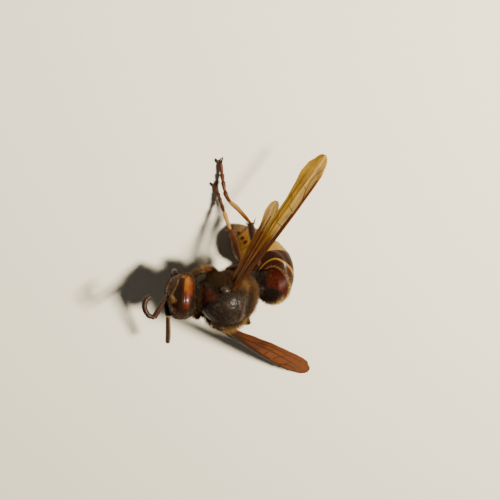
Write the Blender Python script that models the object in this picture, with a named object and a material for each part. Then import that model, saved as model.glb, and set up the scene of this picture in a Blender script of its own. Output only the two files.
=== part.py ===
"""A worker of the European hornet at life size, resting on its toes and on its curled gaster.

All named sizes and places are in millimetres. The head looks along +X, the insect's left is +Y,
the floor is z = 0, and the thorax sits upright with its middle above the point (0, 0).
"""

import math

import bmesh
import bpy
from mathutils import Matrix, Vector

MM = 0.001
GAP = 0.3
WELD = 0.000004

# Thorax: the middle of its long axis, half its length, width and height, and how far it droops.
THORAX_CENTRE = Vector((-0.05, 0.0, 8.0))
THORAX_HALF = Vector((3.4, 2.95, 3.1))
THORAX_REAR_DROP = 1.5
THORAX_FRONT_DROP = 0.5

# Head: its middle, the way its crown points, half its thickness, width and height.
HEAD_CENTRE = Vector((5.1, 0.35, 7.05))
HEAD_CROWN = Vector((0.0, 0.62, 0.77))
HEAD_HALF = Vector((1.6, 2.65, 2.5))
HEAD_BOXY = 0.74
CLYPEUS_BULGE = 0.35
FACE_SLOPE = 0.9
FACE_SLOPE_FROM = 1.1
FACE_SLOPE_TO = 2.7

# Eye: a kidney on each side of the face, cut from a slightly swollen copy of the head.
EYE_BACK = -0.2
EYE_MIDDLE_Y = 2.85
EYE_MIDDLE_Z = 0.3
EYE_HALF_WIDTH = 1.0
EYE_HALF_HEIGHT = 2.4
EYE_NOTCH_DEPTH = 0.4
EYE_NOTCH_Z = 0.5
EYE_NOTCH_WIDTH = 0.42
EYE_SWELL = 0.12
EYE_INNER_FACE = 1.3

# Jaws and feelers, in the head's own frame: forward, left, up towards the crown.
MANDIBLE_ROUTE = ((0.55, 1.35, -1.9), (1.0, 1.35, -2.6), (1.15, 0.95, -3.1), (1.1, 0.4, -3.35))
MANDIBLE_RADII = (0.6, 0.52, 0.4, 0.24)
SOCKET = Vector((1.35, 0.7, 0.45))
SCAPE_RADII = (0.3, 0.27, 0.3, 0.33)
SCAPE_ELBOW_RIGHT = Vector((3.15, -0.9, 3.0))
SCAPE_ELBOW_LEFT = Vector((1.4, 1.75, 1.9))
FLAGELLUM_RADII = (0.27, 0.28, 0.3, 0.31, 0.31, 0.3, 0.24)
FLAGELLUM_ROUNDING = 0.16
FLAGELLUM_JOINTS = 10
JOINT_WAIST = 0.86
FLAGELLUM_RIGHT = ((3.8, -1.2, 2.8), (4.25, -1.55, 2.1), (4.15, -1.75, 1.2), (3.55, -1.7, 0.65))
FLAGELLUM_LEFT = ((1.35, 2.7, 2.25), (1.25, 4.05, 2.65), (1.2, 5.55, 3.1), (1.2, 7.05, 3.5))

# Gaster: cross-sections from the waist to the tip, each with its middle, the way the gaster runs
# there, its radius, and how deep its belly half is as a share of that radius.
GASTER_SECTIONS = (
    ((-2.8, -0.3, 6.85), (-0.8, -0.1, -0.55), 0.42, 1.0),
    ((-4.1, -0.5, 5.95), (-0.8, 0.0, -0.6), 0.5, 1.0),
    ((-4.75, -0.58, 5.5), (-0.72, 0.19, -0.665), 1.9, 0.9),
    ((-5.2, -0.75, 5.0), (-0.56, 0.03, -0.83), 2.55, 0.54),
    ((-5.1, -1.6, 4.1), (-0.14, -0.32, -0.94), 2.85, 0.42),
    ((-4.55, -2.6, 3.5), (0.2, -0.55, -0.81), 3.0, 0.52),
    ((-3.65, -3.3, 2.9), (0.5, -0.65, -0.57), 2.85, 0.66),
    ((-2.75, -3.8, 2.3), (0.66, -0.64, -0.4), 2.5, 0.75),
    ((-2.05, -4.45, 1.88), (0.7, -0.64, -0.32), 2.08, 0.82),
    ((-1.35, -5.15, 1.42), (0.68, -0.67, -0.3), 1.3, 0.95),
    ((-0.85, -5.65, 1.08), (0.68, -0.67, -0.3), 0.3, 1.0),
)
GASTER_HOLLOW = Vector((-2.2, -1.8, 5.2))
RING_ENDS = (0.0, 3.75, 6.0, 7.3, 8.1, 8.8, 10.0)
RING_SHOULDER = 0.12
GASTER_SIDES = 24

# Wings: outline of the folded blade as (distance from the root, front edge, rear edge).
FOREWING_STATIONS = (
    (0.0, -0.35, 0.35),
    (2.5, -0.4, 0.7),
    (5.5, -0.57, 1.2),
    (9.0, -0.62, 1.75),
    (12.0, -0.58, 1.9),
    (14.0, -0.42, 2.25),
    (15.6, -0.25, 2.65),
    (16.8, -0.05, 2.55),
    (17.8, 0.25, 2.1),
)
FOREWING_TIP = (18.7, 1.2)
HINDWING_STATIONS = (
    (0.0, 0.75, 1.15),
    (3.3, 1.2, 1.9),
    (5.2, 1.52, 2.35),
    (7.5, 1.9, 2.75),
    (9.4, 2.12, 3.55),
    (10.4, 2.35, 3.75),
)
HINDWING_TIP = (11.1, 3.1)
WING_THICKNESS = 0.5
VEIN_RADIUS = 0.33
COSTA_RADIUS = 0.4
FOREWING_VEINS = (
    ((0.3, 0.05), (6.0, 0.45), (9.6, 0.8), (13.0, 0.95), (16.2, 0.95)),
    ((5.0, 0.4), (9.0, 1.3), (13.5, 1.6), (16.4, 1.8)),
)
COSTA_LINE = ((0.3, -0.1), (2.5, -0.18), (5.5, -0.3), (9.0, -0.38), (12.0, -0.34), (14.0, -0.2), (15.6, 0.0))
CROSS_VEINS = (((9.6, 0.8), (10.3, 1.4)), ((12.6, 0.95), (13.0, 1.5)), ((11.4, -0.3), (12.5, 0.92)))
HINDWING_VEIN = ((1.6, 1.17), (4.0, 1.65), (7.0, 2.35), (9.2, 2.85))
WING_ROOT_RIGHT = Vector((-0.31, -2.3, 9.6))
WING_ALONG_RIGHT = Vector((-0.479, -0.877, -0.038))
WING_ACROSS_RIGHT = Vector((0.39, -0.17, -0.91))
WING_ROOT_LEFT = Vector((0.05, 2.74, 9.74))
WING_ALONG_LEFT = Vector((-0.59, 0.67, -0.44))
WING_ACROSS_LEFT = Vector((-0.68, -0.73, 0.06))
HINDWING_TUCK = Vector((0.0, -1.45, -1.0))
HINDWING_SWING = -8.0
TEGULA_PLACE = Vector((0.5, 2.55, 9.9))
TEGULA_HALF = Vector((0.62, 0.45, 0.5))

# Legs: root in the thorax, trochanter, knee, ankle, bend of the tarsus and toe, for each side.
LEG_ROUTES = {
    "front_right": ((1.9, -0.8, 6.1), (1.45, -1.8, 4.8), (2.9, -2.9, 6.0), (3.75, 0.1, 3.0),
                    (4.3, 1.6, 0.9), (5.1, 2.5, 0.2)),
    "mid_right": ((0.0, -0.9, 6.0), (-0.2, -2.05, 4.8), (-1.48, -4.4, 7.2), (-0.05, -6.95, 4.0),
                  (0.95, -8.75, 1.5), (1.77, -10.6, 0.2)),
    "hind_right": ((-1.0, -0.8, 6.3), (-1.9, -2.3, 5.0), (-3.2, -4.95, 7.9), (-2.2, -8.3, 4.5),
                   (0.58, -10.15, 1.6), (1.5, -13.6, 0.2)),
    "front_left": ((1.9, 0.8, 6.1), (1.9, 2.0, 4.6), (3.0, 3.9, 6.2), (3.6, 4.9, 2.9),
                   (4.0, 5.5, 0.8), (5.1, 5.4, 0.2)),
    "mid_left": ((0.0, 0.9, 6.0), (0.0, 2.3, 4.5), (-0.4, 4.2, 6.9), (0.5, 5.9, 3.3),
                 (0.9, 7.2, 0.8), (2.7, 6.9, 0.2)),
    "hind_left": ((-1.0, 0.8, 6.3), (-1.9, 2.3, 4.9), (-3.2, 4.6, 5.8), (-2.7, 6.2, 3.0),
                  (-2.4, 7.6, 0.8), (-0.3, 8.5, 0.2)),
}
COXA_RADII = (0.75, 0.72, 0.55, 0.4)
FEMUR_RADII = (0.33, 0.44, 0.5, 0.46, 0.36, 0.32)
TIBIA_RADII = (0.27, 0.27, 0.31, 0.35, 0.37, 0.31)
TARSUS_RADIUS = 0.27
TARSUS_SHARES = (0.42, 0.18, 0.14, 0.1, 0.16)
CLAW_LENGTH = 0.75
CLAW_RADII = (0.2, 0.16, 0.07)
SPUR_LENGTH = 0.9
SPUR_RADII = (0.17, 0.13, 0.07)
LEG_GIRTH = {"front": 0.95, "mid": 1.0, "hind": 1.15}

# Colours as (red, green, blue, roughness).
COLOURS = {
    "dark_red_brown": (0.075, 0.022, 0.012, 0.35),
    "black_brown": (0.022, 0.013, 0.01, 0.3),
    "orange_yellow": (0.75, 0.36, 0.05, 0.4),
    "yellow_brown": (0.62, 0.33, 0.05, 0.4),
    "eye_brown": (0.045, 0.018, 0.01, 0.2),
    "amber_membrane": (0.55, 0.26, 0.05, 0.25),
    "leg_brown": (0.2, 0.075, 0.03, 0.4),
    "tarsus_tan": (0.5, 0.24, 0.09, 0.45),
}


def clear_scene():
    for item in list(bpy.data.objects):
        bpy.data.objects.remove(item, do_unlink=True)


def new_collection(name):
    collection = bpy.data.collections.new(name)
    bpy.context.scene.collection.children.link(collection)
    return collection


def paint(piece, colour):
    red, green, blue, rough = COLOURS[colour]
    material = bpy.data.materials.new(piece.name + "_" + colour)
    material.use_nodes = True
    shader = material.node_tree.nodes["Principled BSDF"]
    shader.inputs["Base Color"].default_value = (red, green, blue, 1.0)
    shader.inputs["Roughness"].default_value = rough
    piece.data.materials.clear()
    piece.data.materials.append(material)


def object_from_bmesh(name, bm, matrix=None):
    """A new object in the cutters' collection, where every raw shape starts."""
    mesh = bpy.data.meshes.new(name)
    bm.to_mesh(mesh)
    bm.free()
    piece = bpy.data.objects.new(name, mesh)
    cutters.objects.link(piece)
    piece.matrix_world = matrix or Matrix.Identity(4)
    return piece


def finish(piece, colour):
    """Moves a finished piece from the raw shapes to the model and gives it its colour."""
    cutters.objects.unlink(piece)
    model.objects.link(piece)
    mesh = piece.data
    mesh.shade_smooth()
    mesh.set_sharp_from_angle(angle=math.radians(40))
    paint(piece, colour)
    place = piece.matrix_world.copy()
    piece.parent = hornet
    piece.matrix_basis = place
    return piece


def frame(origin, x_axis, y_hint):
    """The matrix of a frame given in millimetres by its origin and two directions."""
    x_axis = x_axis.normalized()
    z_axis = x_axis.cross(y_hint).normalized()
    y_axis = z_axis.cross(x_axis)
    matrix = Matrix((x_axis, y_axis, z_axis)).transposed().to_4x4()
    matrix.translation = origin * MM
    return matrix


def baked(piece):
    """Applies the modifiers of a piece and keeps only its largest closed surface."""
    bpy.context.view_layer.update()
    evaluated = piece.evaluated_get(bpy.context.evaluated_depsgraph_get())
    mesh = bpy.data.meshes.new_from_object(evaluated)
    piece.modifiers.clear()
    piece.data = mesh
    bm = bmesh.new()
    bm.from_mesh(mesh)
    bmesh.ops.triangulate(bm, faces=bm.faces)
    bmesh.ops.dissolve_degenerate(bm, dist=WELD, edges=bm.edges)
    shells = []
    waiting = set(bm.faces)
    while waiting:
        shell = {waiting.pop()}
        edge_of_shell = list(shell)
        while edge_of_shell:
            face = edge_of_shell.pop()
            for edge in face.edges:
                for other in edge.link_faces:
                    if other in waiting:
                        waiting.discard(other)
                        shell.add(other)
                        edge_of_shell.append(other)
        shells.append(shell)
    shells.sort(key=lambda shell: sum(face.calc_area() for face in shell))
    scraps = [face for shell in shells[:-1] for face in shell]
    if scraps:
        bmesh.ops.delete(bm, geom=scraps, context="FACES")
    bm.to_mesh(mesh)
    bm.free()
    return piece


def discard(pieces):
    for piece in pieces:
        bpy.data.objects.remove(piece, do_unlink=True)


def cut(piece, cutter, operation="DIFFERENCE"):
    step = piece.modifiers.new("fit", "BOOLEAN")
    step.operation = operation
    step.solver = "EXACT"
    step.object = cutter
    return baked(piece)


def united(piece, others):
    """Joins closed shapes that run into one another into one closed body."""
    group = bpy.data.collections.new("to_join")
    for other in others:
        group.objects.link(other)
    step = piece.modifiers.new("join", "BOOLEAN")
    step.operation = "UNION"
    step.solver = "EXACT"
    step.operand_type = "COLLECTION"
    step.collection = group
    baked(piece)
    discard(others)
    bpy.data.collections.remove(group)
    return piece


def swollen_sphere(name, shape, segments, rings, matrix=None):
    """A sphere whose points are moved by a shape function, with its poles along X."""
    bm = bmesh.new()
    bmesh.ops.create_uvsphere(bm, u_segments=segments, v_segments=rings, radius=1.0)
    bmesh.ops.rotate(bm, verts=bm.verts, matrix=Matrix.Rotation(math.radians(90), 3, "Y"))
    for vert in bm.verts:
        vert.co = shape(vert.co) * MM
    bmesh.ops.recalc_face_normals(bm, faces=bm.faces)
    return object_from_bmesh(name, bm, matrix)


def curve_to_mesh(name, curve, matrix=None):
    carrier = bpy.data.objects.new(name, curve)
    cutters.objects.link(carrier)
    bpy.context.view_layer.update()
    evaluated = carrier.evaluated_get(bpy.context.evaluated_depsgraph_get())
    mesh = bpy.data.meshes.new_from_object(evaluated)
    bpy.data.objects.remove(carrier, do_unlink=True)
    bm = bmesh.new()
    bm.from_mesh(mesh)
    bmesh.ops.remove_doubles(bm, verts=bm.verts, dist=WELD)
    bmesh.ops.recalc_face_normals(bm, faces=bm.faces)
    if bm.calc_volume(signed=True) < 0:
        bmesh.ops.reverse_faces(bm, faces=bm.faces)
    return object_from_bmesh(name, bm, matrix)


def tube(name, points, radii, extra_sides=2, matrix=None):
    """A round bar through the points, with its own radius at each of them."""
    curve = bpy.data.curves.new(name, "CURVE")
    curve.dimensions = "3D"
    curve.bevel_depth = MM
    curve.bevel_resolution = extra_sides
    curve.use_fill_caps = True
    spline = curve.splines.new("POLY")
    spline.points.add(len(points) - 1)
    for knot, point, radius in zip(spline.points, points, radii):
        knot.co = (*(Vector(point) * MM), 1.0)
        knot.radius = radius
    return curve_to_mesh(name, curve, matrix)


def plate(name, outline, thickness, matrix=None):
    """A flat plate with the given outline, in the XY plane of its frame."""
    curve = bpy.data.curves.new(name, "CURVE")
    curve.dimensions = "2D"
    curve.fill_mode = "BOTH"
    curve.extrude = thickness * MM / 2
    spline = curve.splines.new("POLY")
    spline.points.add(len(outline) - 1)
    for knot, (along, across) in zip(spline.points, outline):
        knot.co = (along * MM, across * MM, 0.0, 1.0)
    spline.use_cyclic_u = True
    return curve_to_mesh(name, curve, matrix)


def blend(values, share):
    """Reads a list of numbers at a share of its length from 0 to 1."""
    place = share * (len(values) - 1)
    index = min(int(place), len(values) - 2)
    return values[index] + (values[index + 1] - values[index]) * (place - index)


def catmull(points, place):
    """A point on the smooth line through the points, at a place counted in points."""
    index = min(int(place), len(points) - 2)
    t = place - index
    p1 = Vector(points[index])
    p2 = Vector(points[index + 1])
    p0 = Vector(points[index - 1]) if index else p1 * 2 - p2
    p3 = Vector(points[index + 2]) if index + 2 < len(points) else p2 * 2 - p1
    return (p1 * 2 + (p2 - p0) * t + (p0 * 2 - p1 * 5 + p2 * 4 - p3) * t * t
            + (p1 * 3 - p0 - p2 * 3 + p3) * t ** 3) / 2


class SmoothLine:
    """A smooth line through a few points, read by the distance along it."""

    STEPS = 24

    def __init__(self, points):
        count = (len(points) - 1) * self.STEPS
        self.samples = [catmull(points, i / self.STEPS) for i in range(count + 1)]
        self.lengths = [0.0]
        for before, after in zip(self.samples, self.samples[1:]):
            self.lengths.append(self.lengths[-1] + (after - before).length)
        self.length = self.lengths[-1]

    def at(self, distance):
        distance = min(max(distance, 0.0), self.length)
        index = 0
        while index < len(self.lengths) - 2 and self.lengths[index + 1] < distance:
            index += 1
        span = self.lengths[index + 1] - self.lengths[index]
        return self.samples[index].lerp(self.samples[index + 1], (distance - self.lengths[index]) / span)


def thorax_shape(grow=0.0):
    half = THORAX_HALF + Vector((grow, grow, grow))

    def shape(point):
        drop = THORAX_FRONT_DROP if point.x > 0 else THORAX_REAR_DROP
        lift = -drop * point.x ** 2
        sides = math.copysign(abs(point.y) ** 0.9, point.y)
        return THORAX_CENTRE + Vector((half.x * point.x, half.y * sides, half.z * point.z + lift))

    return shape


def boxy(value):
    return math.copysign(abs(value) ** HEAD_BOXY, value)


def head_shape(grow=0.0):
    half = HEAD_HALF + Vector((grow, grow, grow))

    def shape(point):
        place = Vector((half.x * boxy(point.x), half.y * boxy(point.y), half.z * boxy(point.z)))
        if point.x > 0:
            place.x += CLYPEUS_BULGE * math.exp(-((place.y / 1.2) ** 2) - ((place.z + 0.7) / 1.3) ** 2)
            share = (abs(place.y) - FACE_SLOPE_FROM) / (FACE_SLOPE_TO - FACE_SLOPE_FROM)
            share = min(max(share, 0.0), 1.0)
            place.x -= FACE_SLOPE * share * share * (3 - 2 * share) * place.x / half.x
        return place

    return shape


def mirrored(points, side):
    return [(x, y * side, z) for x, y, z in points]


def make_thorax():
    return finish(swollen_sphere("thorax", thorax_shape(), 30, 20), "black_brown")


def eye_prism(name, side, grow, back, inner):
    """The block that an eye is cut from, with the kidney outline in front view."""
    outline = []
    for step in range(26):
        angle = 2 * math.pi * step / 26
        y = EYE_MIDDLE_Y + (EYE_HALF_WIDTH + grow) * math.cos(angle)
        z = EYE_MIDDLE_Z + (EYE_HALF_HEIGHT + grow) * math.sin(angle)
        if y < EYE_MIDDLE_Y:
            y += EYE_NOTCH_DEPTH * math.exp(-((z - EYE_NOTCH_Z) / EYE_NOTCH_WIDTH) ** 2)
        outline.append((side * max(y, inner), z))
    depth = 3.0
    front = Matrix(((0, 0, 1), (1, 0, 0), (0, 1, 0))).to_4x4()
    front.translation = Vector((back + depth / 2, 0.0, 0.0)) * MM
    return plate(name, outline, depth, head_matrix @ front)


def make_head():
    head = swollen_sphere("head", head_shape(), 28, 18, head_matrix)
    for side_name, side in (("left", 1), ("right", -1)):
        eye = swollen_sphere("eye_" + side_name, head_shape(EYE_SWELL), 28, 18, head_matrix)
        block = eye_prism("eye_block", side, 0.0, EYE_BACK, EYE_INNER_FACE)
        cut(eye, block, "INTERSECT")
        pocket = eye_prism("eye_pocket", side, GAP, EYE_BACK - GAP, EYE_INNER_FACE - GAP)
        cut(head, pocket)
        discard((block, pocket))
        finish(eye, "eye_brown")
    cut(head, thorax_room)
    return finish(head, "orange_yellow")


def make_mandibles(head_room):
    for side_name, side in (("left", 1), ("right", -1)):
        jaw = tube("mandible_" + side_name, mirrored(MANDIBLE_ROUTE, side), MANDIBLE_RADII, 2, head_matrix)
        cut(jaw, head_room)
        finish(jaw, "dark_red_brown")


def make_antenna(side_name, side, elbow, route, head_room):
    socket = Vector((SOCKET.x, SOCKET.y * side, SOCKET.z))
    root = socket - Vector((0.8, 0.0, 0.0))
    line = SmoothLine([root, socket + Vector((0.5, 0.0, 0.1)), elbow])
    steps = 6
    points = [line.at(line.length * i / steps) for i in range(steps + 1)]
    radii = [blend(SCAPE_RADII, i / steps) for i in range(steps + 1)]
    way_in = (points[-1] - points[-2]).normalized()
    way_out = (Vector(route[0]) - elbow).normalized()
    turn = (way_in + way_out).normalized()
    points.append(elbow + way_in * reach_past(radii[-1], way_in, turn))
    radii.append(radii[-1])
    scape = tube("scape_" + side_name, points, radii, 2, head_matrix)
    mitred(scape, elbow - turn * GAP / 2, -turn)
    cut(scape, head_room)
    finish(scape, "orange_yellow")
    line = SmoothLine([elbow, *[Vector(point) for point in route]])
    steps = 2 * FLAGELLUM_JOINTS
    points = [line.at(line.length * i / steps) for i in range(steps + 1)]
    radii = [blend(FLAGELLUM_RADII, i / steps) for i in range(steps + 1)]
    radii[2:-1:2] = [radius * JOINT_WAIST for radius in radii[2:-1:2]]
    points[0] = elbow - way_out * reach_past(radii[0], way_out, turn)
    points.append(points[-1] + (points[-1] - points[-2]).normalized() * FLAGELLUM_ROUNDING)
    radii.append(radii[-1] / 2)
    flagellum = tube("flagellum_" + side_name, points, radii, 2, head_matrix)
    mitred(flagellum, elbow + turn * GAP / 2, turn)
    finish(flagellum, "dark_red_brown")


def gaster_section(place):
    """The middle, heading, radius and belly share of the gaster at a place between its sections."""
    columns = [catmull([row[i] for row in GASTER_SECTIONS], place) for i in (0, 1)]
    index = min(int(place), len(GASTER_SECTIONS) - 2)
    share = place - index
    before = GASTER_SECTIONS[index]
    after = GASTER_SECTIONS[index + 1]
    radius = before[2] + (after[2] - before[2]) * share
    belly = before[3] + (after[3] - before[3]) * share
    return columns[0], columns[1].normalized(), radius, belly


def loft(name, sections):
    """A closed body through flat cross-sections, round on the back and shallower at the belly."""
    bm = bmesh.new()
    rings = []
    for centre, heading, radius, belly in sections:
        away = centre - GASTER_HOLLOW
        back = (away - heading * away.dot(heading)).normalized()
        aside = heading.cross(back)
        ring = []
        for step in range(GASTER_SIDES):
            angle = 2 * math.pi * step / GASTER_SIDES
            depth = math.cos(angle) * (1.0 if math.cos(angle) > 0 else belly)
            ring.append(bm.verts.new((centre + (back * depth + aside * math.sin(angle)) * radius) * MM))
        rings.append(ring)
    for ring, following in zip(rings, rings[1:]):
        for step in range(GASTER_SIDES):
            beyond = (step + 1) % GASTER_SIDES
            bm.faces.new((ring[step], ring[beyond], following[beyond], following[step]))
    bm.faces.new(rings[0])
    bm.faces.new(rings[-1])
    bmesh.ops.recalc_face_normals(bm, faces=bm.faces)
    return object_from_bmesh(name, bm)


def make_gaster():
    lip = 0.1
    for number, (start, end) in enumerate(zip(RING_ENDS, RING_ENDS[1:]), 1):
        steps = 8 if number == 1 else 4
        places = [start + (end - start) * i / steps for i in range(steps + 1)]
        sections = [gaster_section(place) for place in places]
        if number > 1:
            centre, heading, radius, belly = sections[0]
            face = centre + heading * GAP / 2
            sections[0:1] = [
                (face, heading, radius - RING_SHOULDER, belly),
                (face + heading * lip, heading, radius - RING_SHOULDER / 3, belly),
            ]
        if number < 6:
            centre, heading, radius, belly = sections[-1]
            face = centre - heading * GAP / 2
            sections[-1:] = [
                (face - heading * lip, heading, radius, belly),
                (face, heading, radius - RING_SHOULDER / 3, belly),
            ]
        ring = loft("gaster_%d" % number, sections)
        if number == 1:
            cut(ring, thorax_room)
        cut(ring, floor_block)
        finish(ring, "yellow_brown")


def outline_of(stations, tip):
    """The closed outline of a wing blade: out along its front edge, round the tip and back."""
    front = [(along, lead) for along, lead, _ in stations]
    rear = [(along, trail) for along, _, trail in reversed(stations)]
    last, lead, trail = stations[-1]
    turn = [(tip[0] - 0.22, lead * 0.35 + tip[1] * 0.65), tip, (tip[0] - 0.22, trail * 0.55 + tip[1] * 0.45)]
    return front + turn + rear


def flat_tube(name, line, radius, matrix):
    smooth = SmoothLine([(along, across, 0.0) for along, across in line])
    steps = max(2, round(smooth.length / 2.2))
    points = [smooth.at(smooth.length * i / steps) for i in range(steps + 1)]
    radii = [radius - 0.04 * i / steps for i in range(steps + 1)]
    return tube(name, points, radii, 1, matrix)


def make_wings(side_name, root, along, across, tuck, swing, rooms):
    matrix = frame(root, along, across)
    blade = plate("forewing_" + side_name, outline_of(FOREWING_STATIONS, FOREWING_TIP), WING_THICKNESS, matrix)
    veins = [flat_tube("vein", COSTA_LINE, COSTA_RADIUS, matrix)]
    veins += [flat_tube("vein", line, VEIN_RADIUS, matrix) for line in FOREWING_VEINS]
    veins += [flat_tube("vein", line, VEIN_RADIUS - 0.02, matrix) for line in CROSS_VEINS]
    united(blade, veins)
    for room in rooms:
        cut(blade, room)
    finish(blade, "amber_membrane")
    matrix = matrix @ Matrix.Translation(tuck * MM) @ Matrix.Rotation(math.radians(swing), 4, "Z")
    blade = plate("hindwing_" + side_name, outline_of(HINDWING_STATIONS, HINDWING_TIP), WING_THICKNESS, matrix)
    united(blade, [flat_tube("vein", HINDWING_VEIN, VEIN_RADIUS, matrix)])
    for room in rooms:
        cut(blade, room)
    finish(blade, "amber_membrane")


def tegula_shape(side, grow=0.0):
    place = Vector((TEGULA_PLACE.x, TEGULA_PLACE.y * side, TEGULA_PLACE.z))
    half = TEGULA_HALF + Vector((grow, grow, grow))
    return lambda point: place + Vector((half.x * point.x, half.y * point.y, half.z * point.z))


def mitred(piece, point, heading):
    """Cuts a bar flat across a joint, keeps the side that the heading points to, and closes it."""
    bm = bmesh.new()
    bm.from_mesh(piece.data)
    everything = list(bm.verts) + list(bm.edges) + list(bm.faces)
    bmesh.ops.bisect_plane(bm, geom=everything, dist=WELD / 4, plane_co=point * MM, plane_no=heading,
                           clear_inner=True)
    bmesh.ops.holes_fill(bm, edges=[edge for edge in bm.edges if edge.is_boundary], sides=0)
    bmesh.ops.recalc_face_normals(bm, faces=bm.faces)
    bm.to_mesh(piece.data)
    bm.free()
    return piece


def reach_past(radius, way, turn):
    """How far a bar runs past its joint, so that the slanted cut there is a whole face."""
    half_turn = way.angle(turn)
    return radius * math.tan(half_turn) + GAP


def leg_section(name, start, end, turn_in, turn_out, radii):
    """One straight length of a leg, whose cut ends face its neighbours across the gap."""
    way = (end - start).normalized()
    first = start - way * (reach_past(radii[0], way, turn_in) if turn_in else 0.0)
    last = end + way * reach_past(radii[-1], way, turn_out)
    points = [first] + [start.lerp(end, share) for share in (0.04, 0.2, 0.4, 0.6, 0.8, 0.96)] + [last]
    places = (0.0, 0.0, 0.2, 0.4, 0.6, 0.8, 1.0, 1.0)
    piece = tube(name, points, [blend(radii, place) for place in places])
    if turn_in:
        mitred(piece, start + turn_in * GAP / 2, turn_in)
    return mitred(piece, end - turn_out * GAP / 2, -turn_out)


def make_tarsus(name, start, turn_in, bend, toe, girth):
    """The five-jointed foot, flat where it meets the floor, with two claws at its end."""
    route = SmoothLine([start, start.lerp(bend, 0.5), bend, toe])
    thick = TARSUS_RADIUS * girth
    way = (bend - start).normalized()
    points = [start - way * reach_past(thick, way, turn_in)]
    radii = [thick]
    reached = 0.0
    for number, share in enumerate(TARSUS_SHARES):
        for place, radius in ((0.15, 0.88), (0.92, 1.06)):
            points.append(route.at(route.length * (reached + share * place)))
            radii.append(thick * radius * (1.0 if number else 1.08))
        reached += share
    foot = mitred(tube(name, points, radii), start + turn_in * GAP / 2, turn_in)
    ahead = (points[-1] - points[-3]).normalized()
    ahead.z = 0.0
    ahead.normalize()
    aside = Vector((-ahead.y, ahead.x, 0.0))
    claws = []
    for side in (1, -1):
        out = (ahead + aside * side * 0.75).normalized()
        tip = points[-1] + out * CLAW_LENGTH
        middle = points[-1].lerp(tip, 0.6) + Vector((0.0, 0.0, 0.12))
        tip.z = 0.09
        base = points[-1] - ahead * 0.22 + aside * side * 0.06
        claws.append(tube("claw", [base, middle, tip], CLAW_RADII, 1))
    united(foot, claws)
    return cut(foot, floor_block)


def make_leg(name, route):
    girth = LEG_GIRTH[name.split("_")[0]]
    root, trochanter, knee, ankle, bend, toe = (Vector(point) for point in route)
    joints = ((root, trochanter), (trochanter, knee), (knee, ankle), (ankle, bend))
    along = [(after - before).normalized() for before, after in joints]
    turns = [(before + after).normalized() for before, after in zip(along, along[1:])]
    coxa_radii = [radius * girth for radius in COXA_RADII]
    femur_radii = [radius * girth for radius in FEMUR_RADII]
    tibia_radii = [radius * girth for radius in TIBIA_RADII]
    coxa = leg_section("coxa_" + name, root, trochanter, None, turns[0], coxa_radii)
    cut(coxa, thorax_room)
    finish(coxa, "black_brown")
    femur = leg_section("femur_" + name, trochanter, knee, turns[0], turns[1], femur_radii)
    finish(femur, "leg_brown")
    tibia = leg_section("tibia_" + name, knee, ankle, turns[1], turns[2], tibia_radii)
    if not name.startswith("front"):
        aside = along[2].cross(Vector((0, 0, 1))).normalized()
        heel = ankle - along[2] * 0.55
        tip = heel + (along[2] * 0.8 + aside * 0.45).normalized() * SPUR_LENGTH + Vector((0, 0, 0.25))
        spur = tube("spur", [heel, heel.lerp(tip, 0.6), tip], SPUR_RADII, 1)
        united(tibia, [spur])
    finish(tibia, "leg_brown")
    finish(make_tarsus("tarsus_" + name, ankle, turns[2], bend, toe, girth), "tarsus_tan")


clear_scene()
model = new_collection("european_hornet")
cutters = new_collection("cutters")
hornet = bpy.data.objects.new("hornet", None)
bpy.context.scene.collection.objects.link(hornet)

head_matrix = frame(HEAD_CENTRE, Vector((1.0, 0.0, 0.0)), HEAD_CROWN.cross(Vector((1.0, 0.0, 0.0))))
thorax_room = swollen_sphere("thorax_room", thorax_shape(GAP), 30, 20)
head_room = swollen_sphere("head_room", head_shape(GAP), 28, 18, head_matrix)
floor_mesh = bmesh.new()
bmesh.ops.create_cube(floor_mesh, size=1.0)
bmesh.ops.scale(floor_mesh, verts=floor_mesh.verts, vec=(0.08, 0.08, 0.01))
bmesh.ops.translate(floor_mesh, verts=floor_mesh.verts, vec=(0.0, 0.0, -0.005))
floor_block = object_from_bmesh("floor_block", floor_mesh)

make_thorax()
make_head()
make_mandibles(head_room)
make_antenna("right", -1, SCAPE_ELBOW_RIGHT, FLAGELLUM_RIGHT, head_room)
make_antenna("left", 1, SCAPE_ELBOW_LEFT, FLAGELLUM_LEFT, head_room)
make_gaster()
for side_name, side, root, along, across, tuck, swing in (
    ("right", -1, WING_ROOT_RIGHT, WING_ALONG_RIGHT, WING_ACROSS_RIGHT, Vector((0.0, 0.0, 0.0)), 0.0),
    ("left", 1, WING_ROOT_LEFT, WING_ALONG_LEFT, WING_ACROSS_LEFT, HINDWING_TUCK, HINDWING_SWING),
):
    tegula = swollen_sphere("tegula_" + side_name, tegula_shape(side), 12, 8)
    tegula_room = swollen_sphere("tegula_room", tegula_shape(side, GAP), 12, 8)
    cut(tegula, thorax_room)
    finish(tegula, "dark_red_brown")
    make_wings(side_name, root, along, across, tuck, swing, (thorax_room, tegula_room))
    discard((tegula_room,))
for leg_name, leg_route in LEG_ROUTES.items():
    make_leg(leg_name, leg_route)

for shape_left in list(cutters.objects):
    shape_left.hide_render = True
    shape_left.display_type = "WIRE"

bpy.context.view_layer.update()
corners = [piece.matrix_world @ vert.co for piece in model.objects for vert in piece.data.vertices]
middle_x = (min(c.x for c in corners) + max(c.x for c in corners)) / 2
middle_y = (min(c.y for c in corners) + max(c.y for c in corners)) / 2
hornet.location = (-middle_x, -middle_y, 0.0)
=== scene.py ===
"""The finished look of a European hornet worker at life size, resting on its toes and its gaster.

Sizes and places are in millimetres in the hornet's own frame: its head looks along +X, its left is
+Y, the floor is z = 0 and the middle of the thorax stands almost above the point (0, 0).
"""

import math

import bmesh
import bpy
import numpy as np
from mathutils import Matrix, Vector, noise


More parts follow.
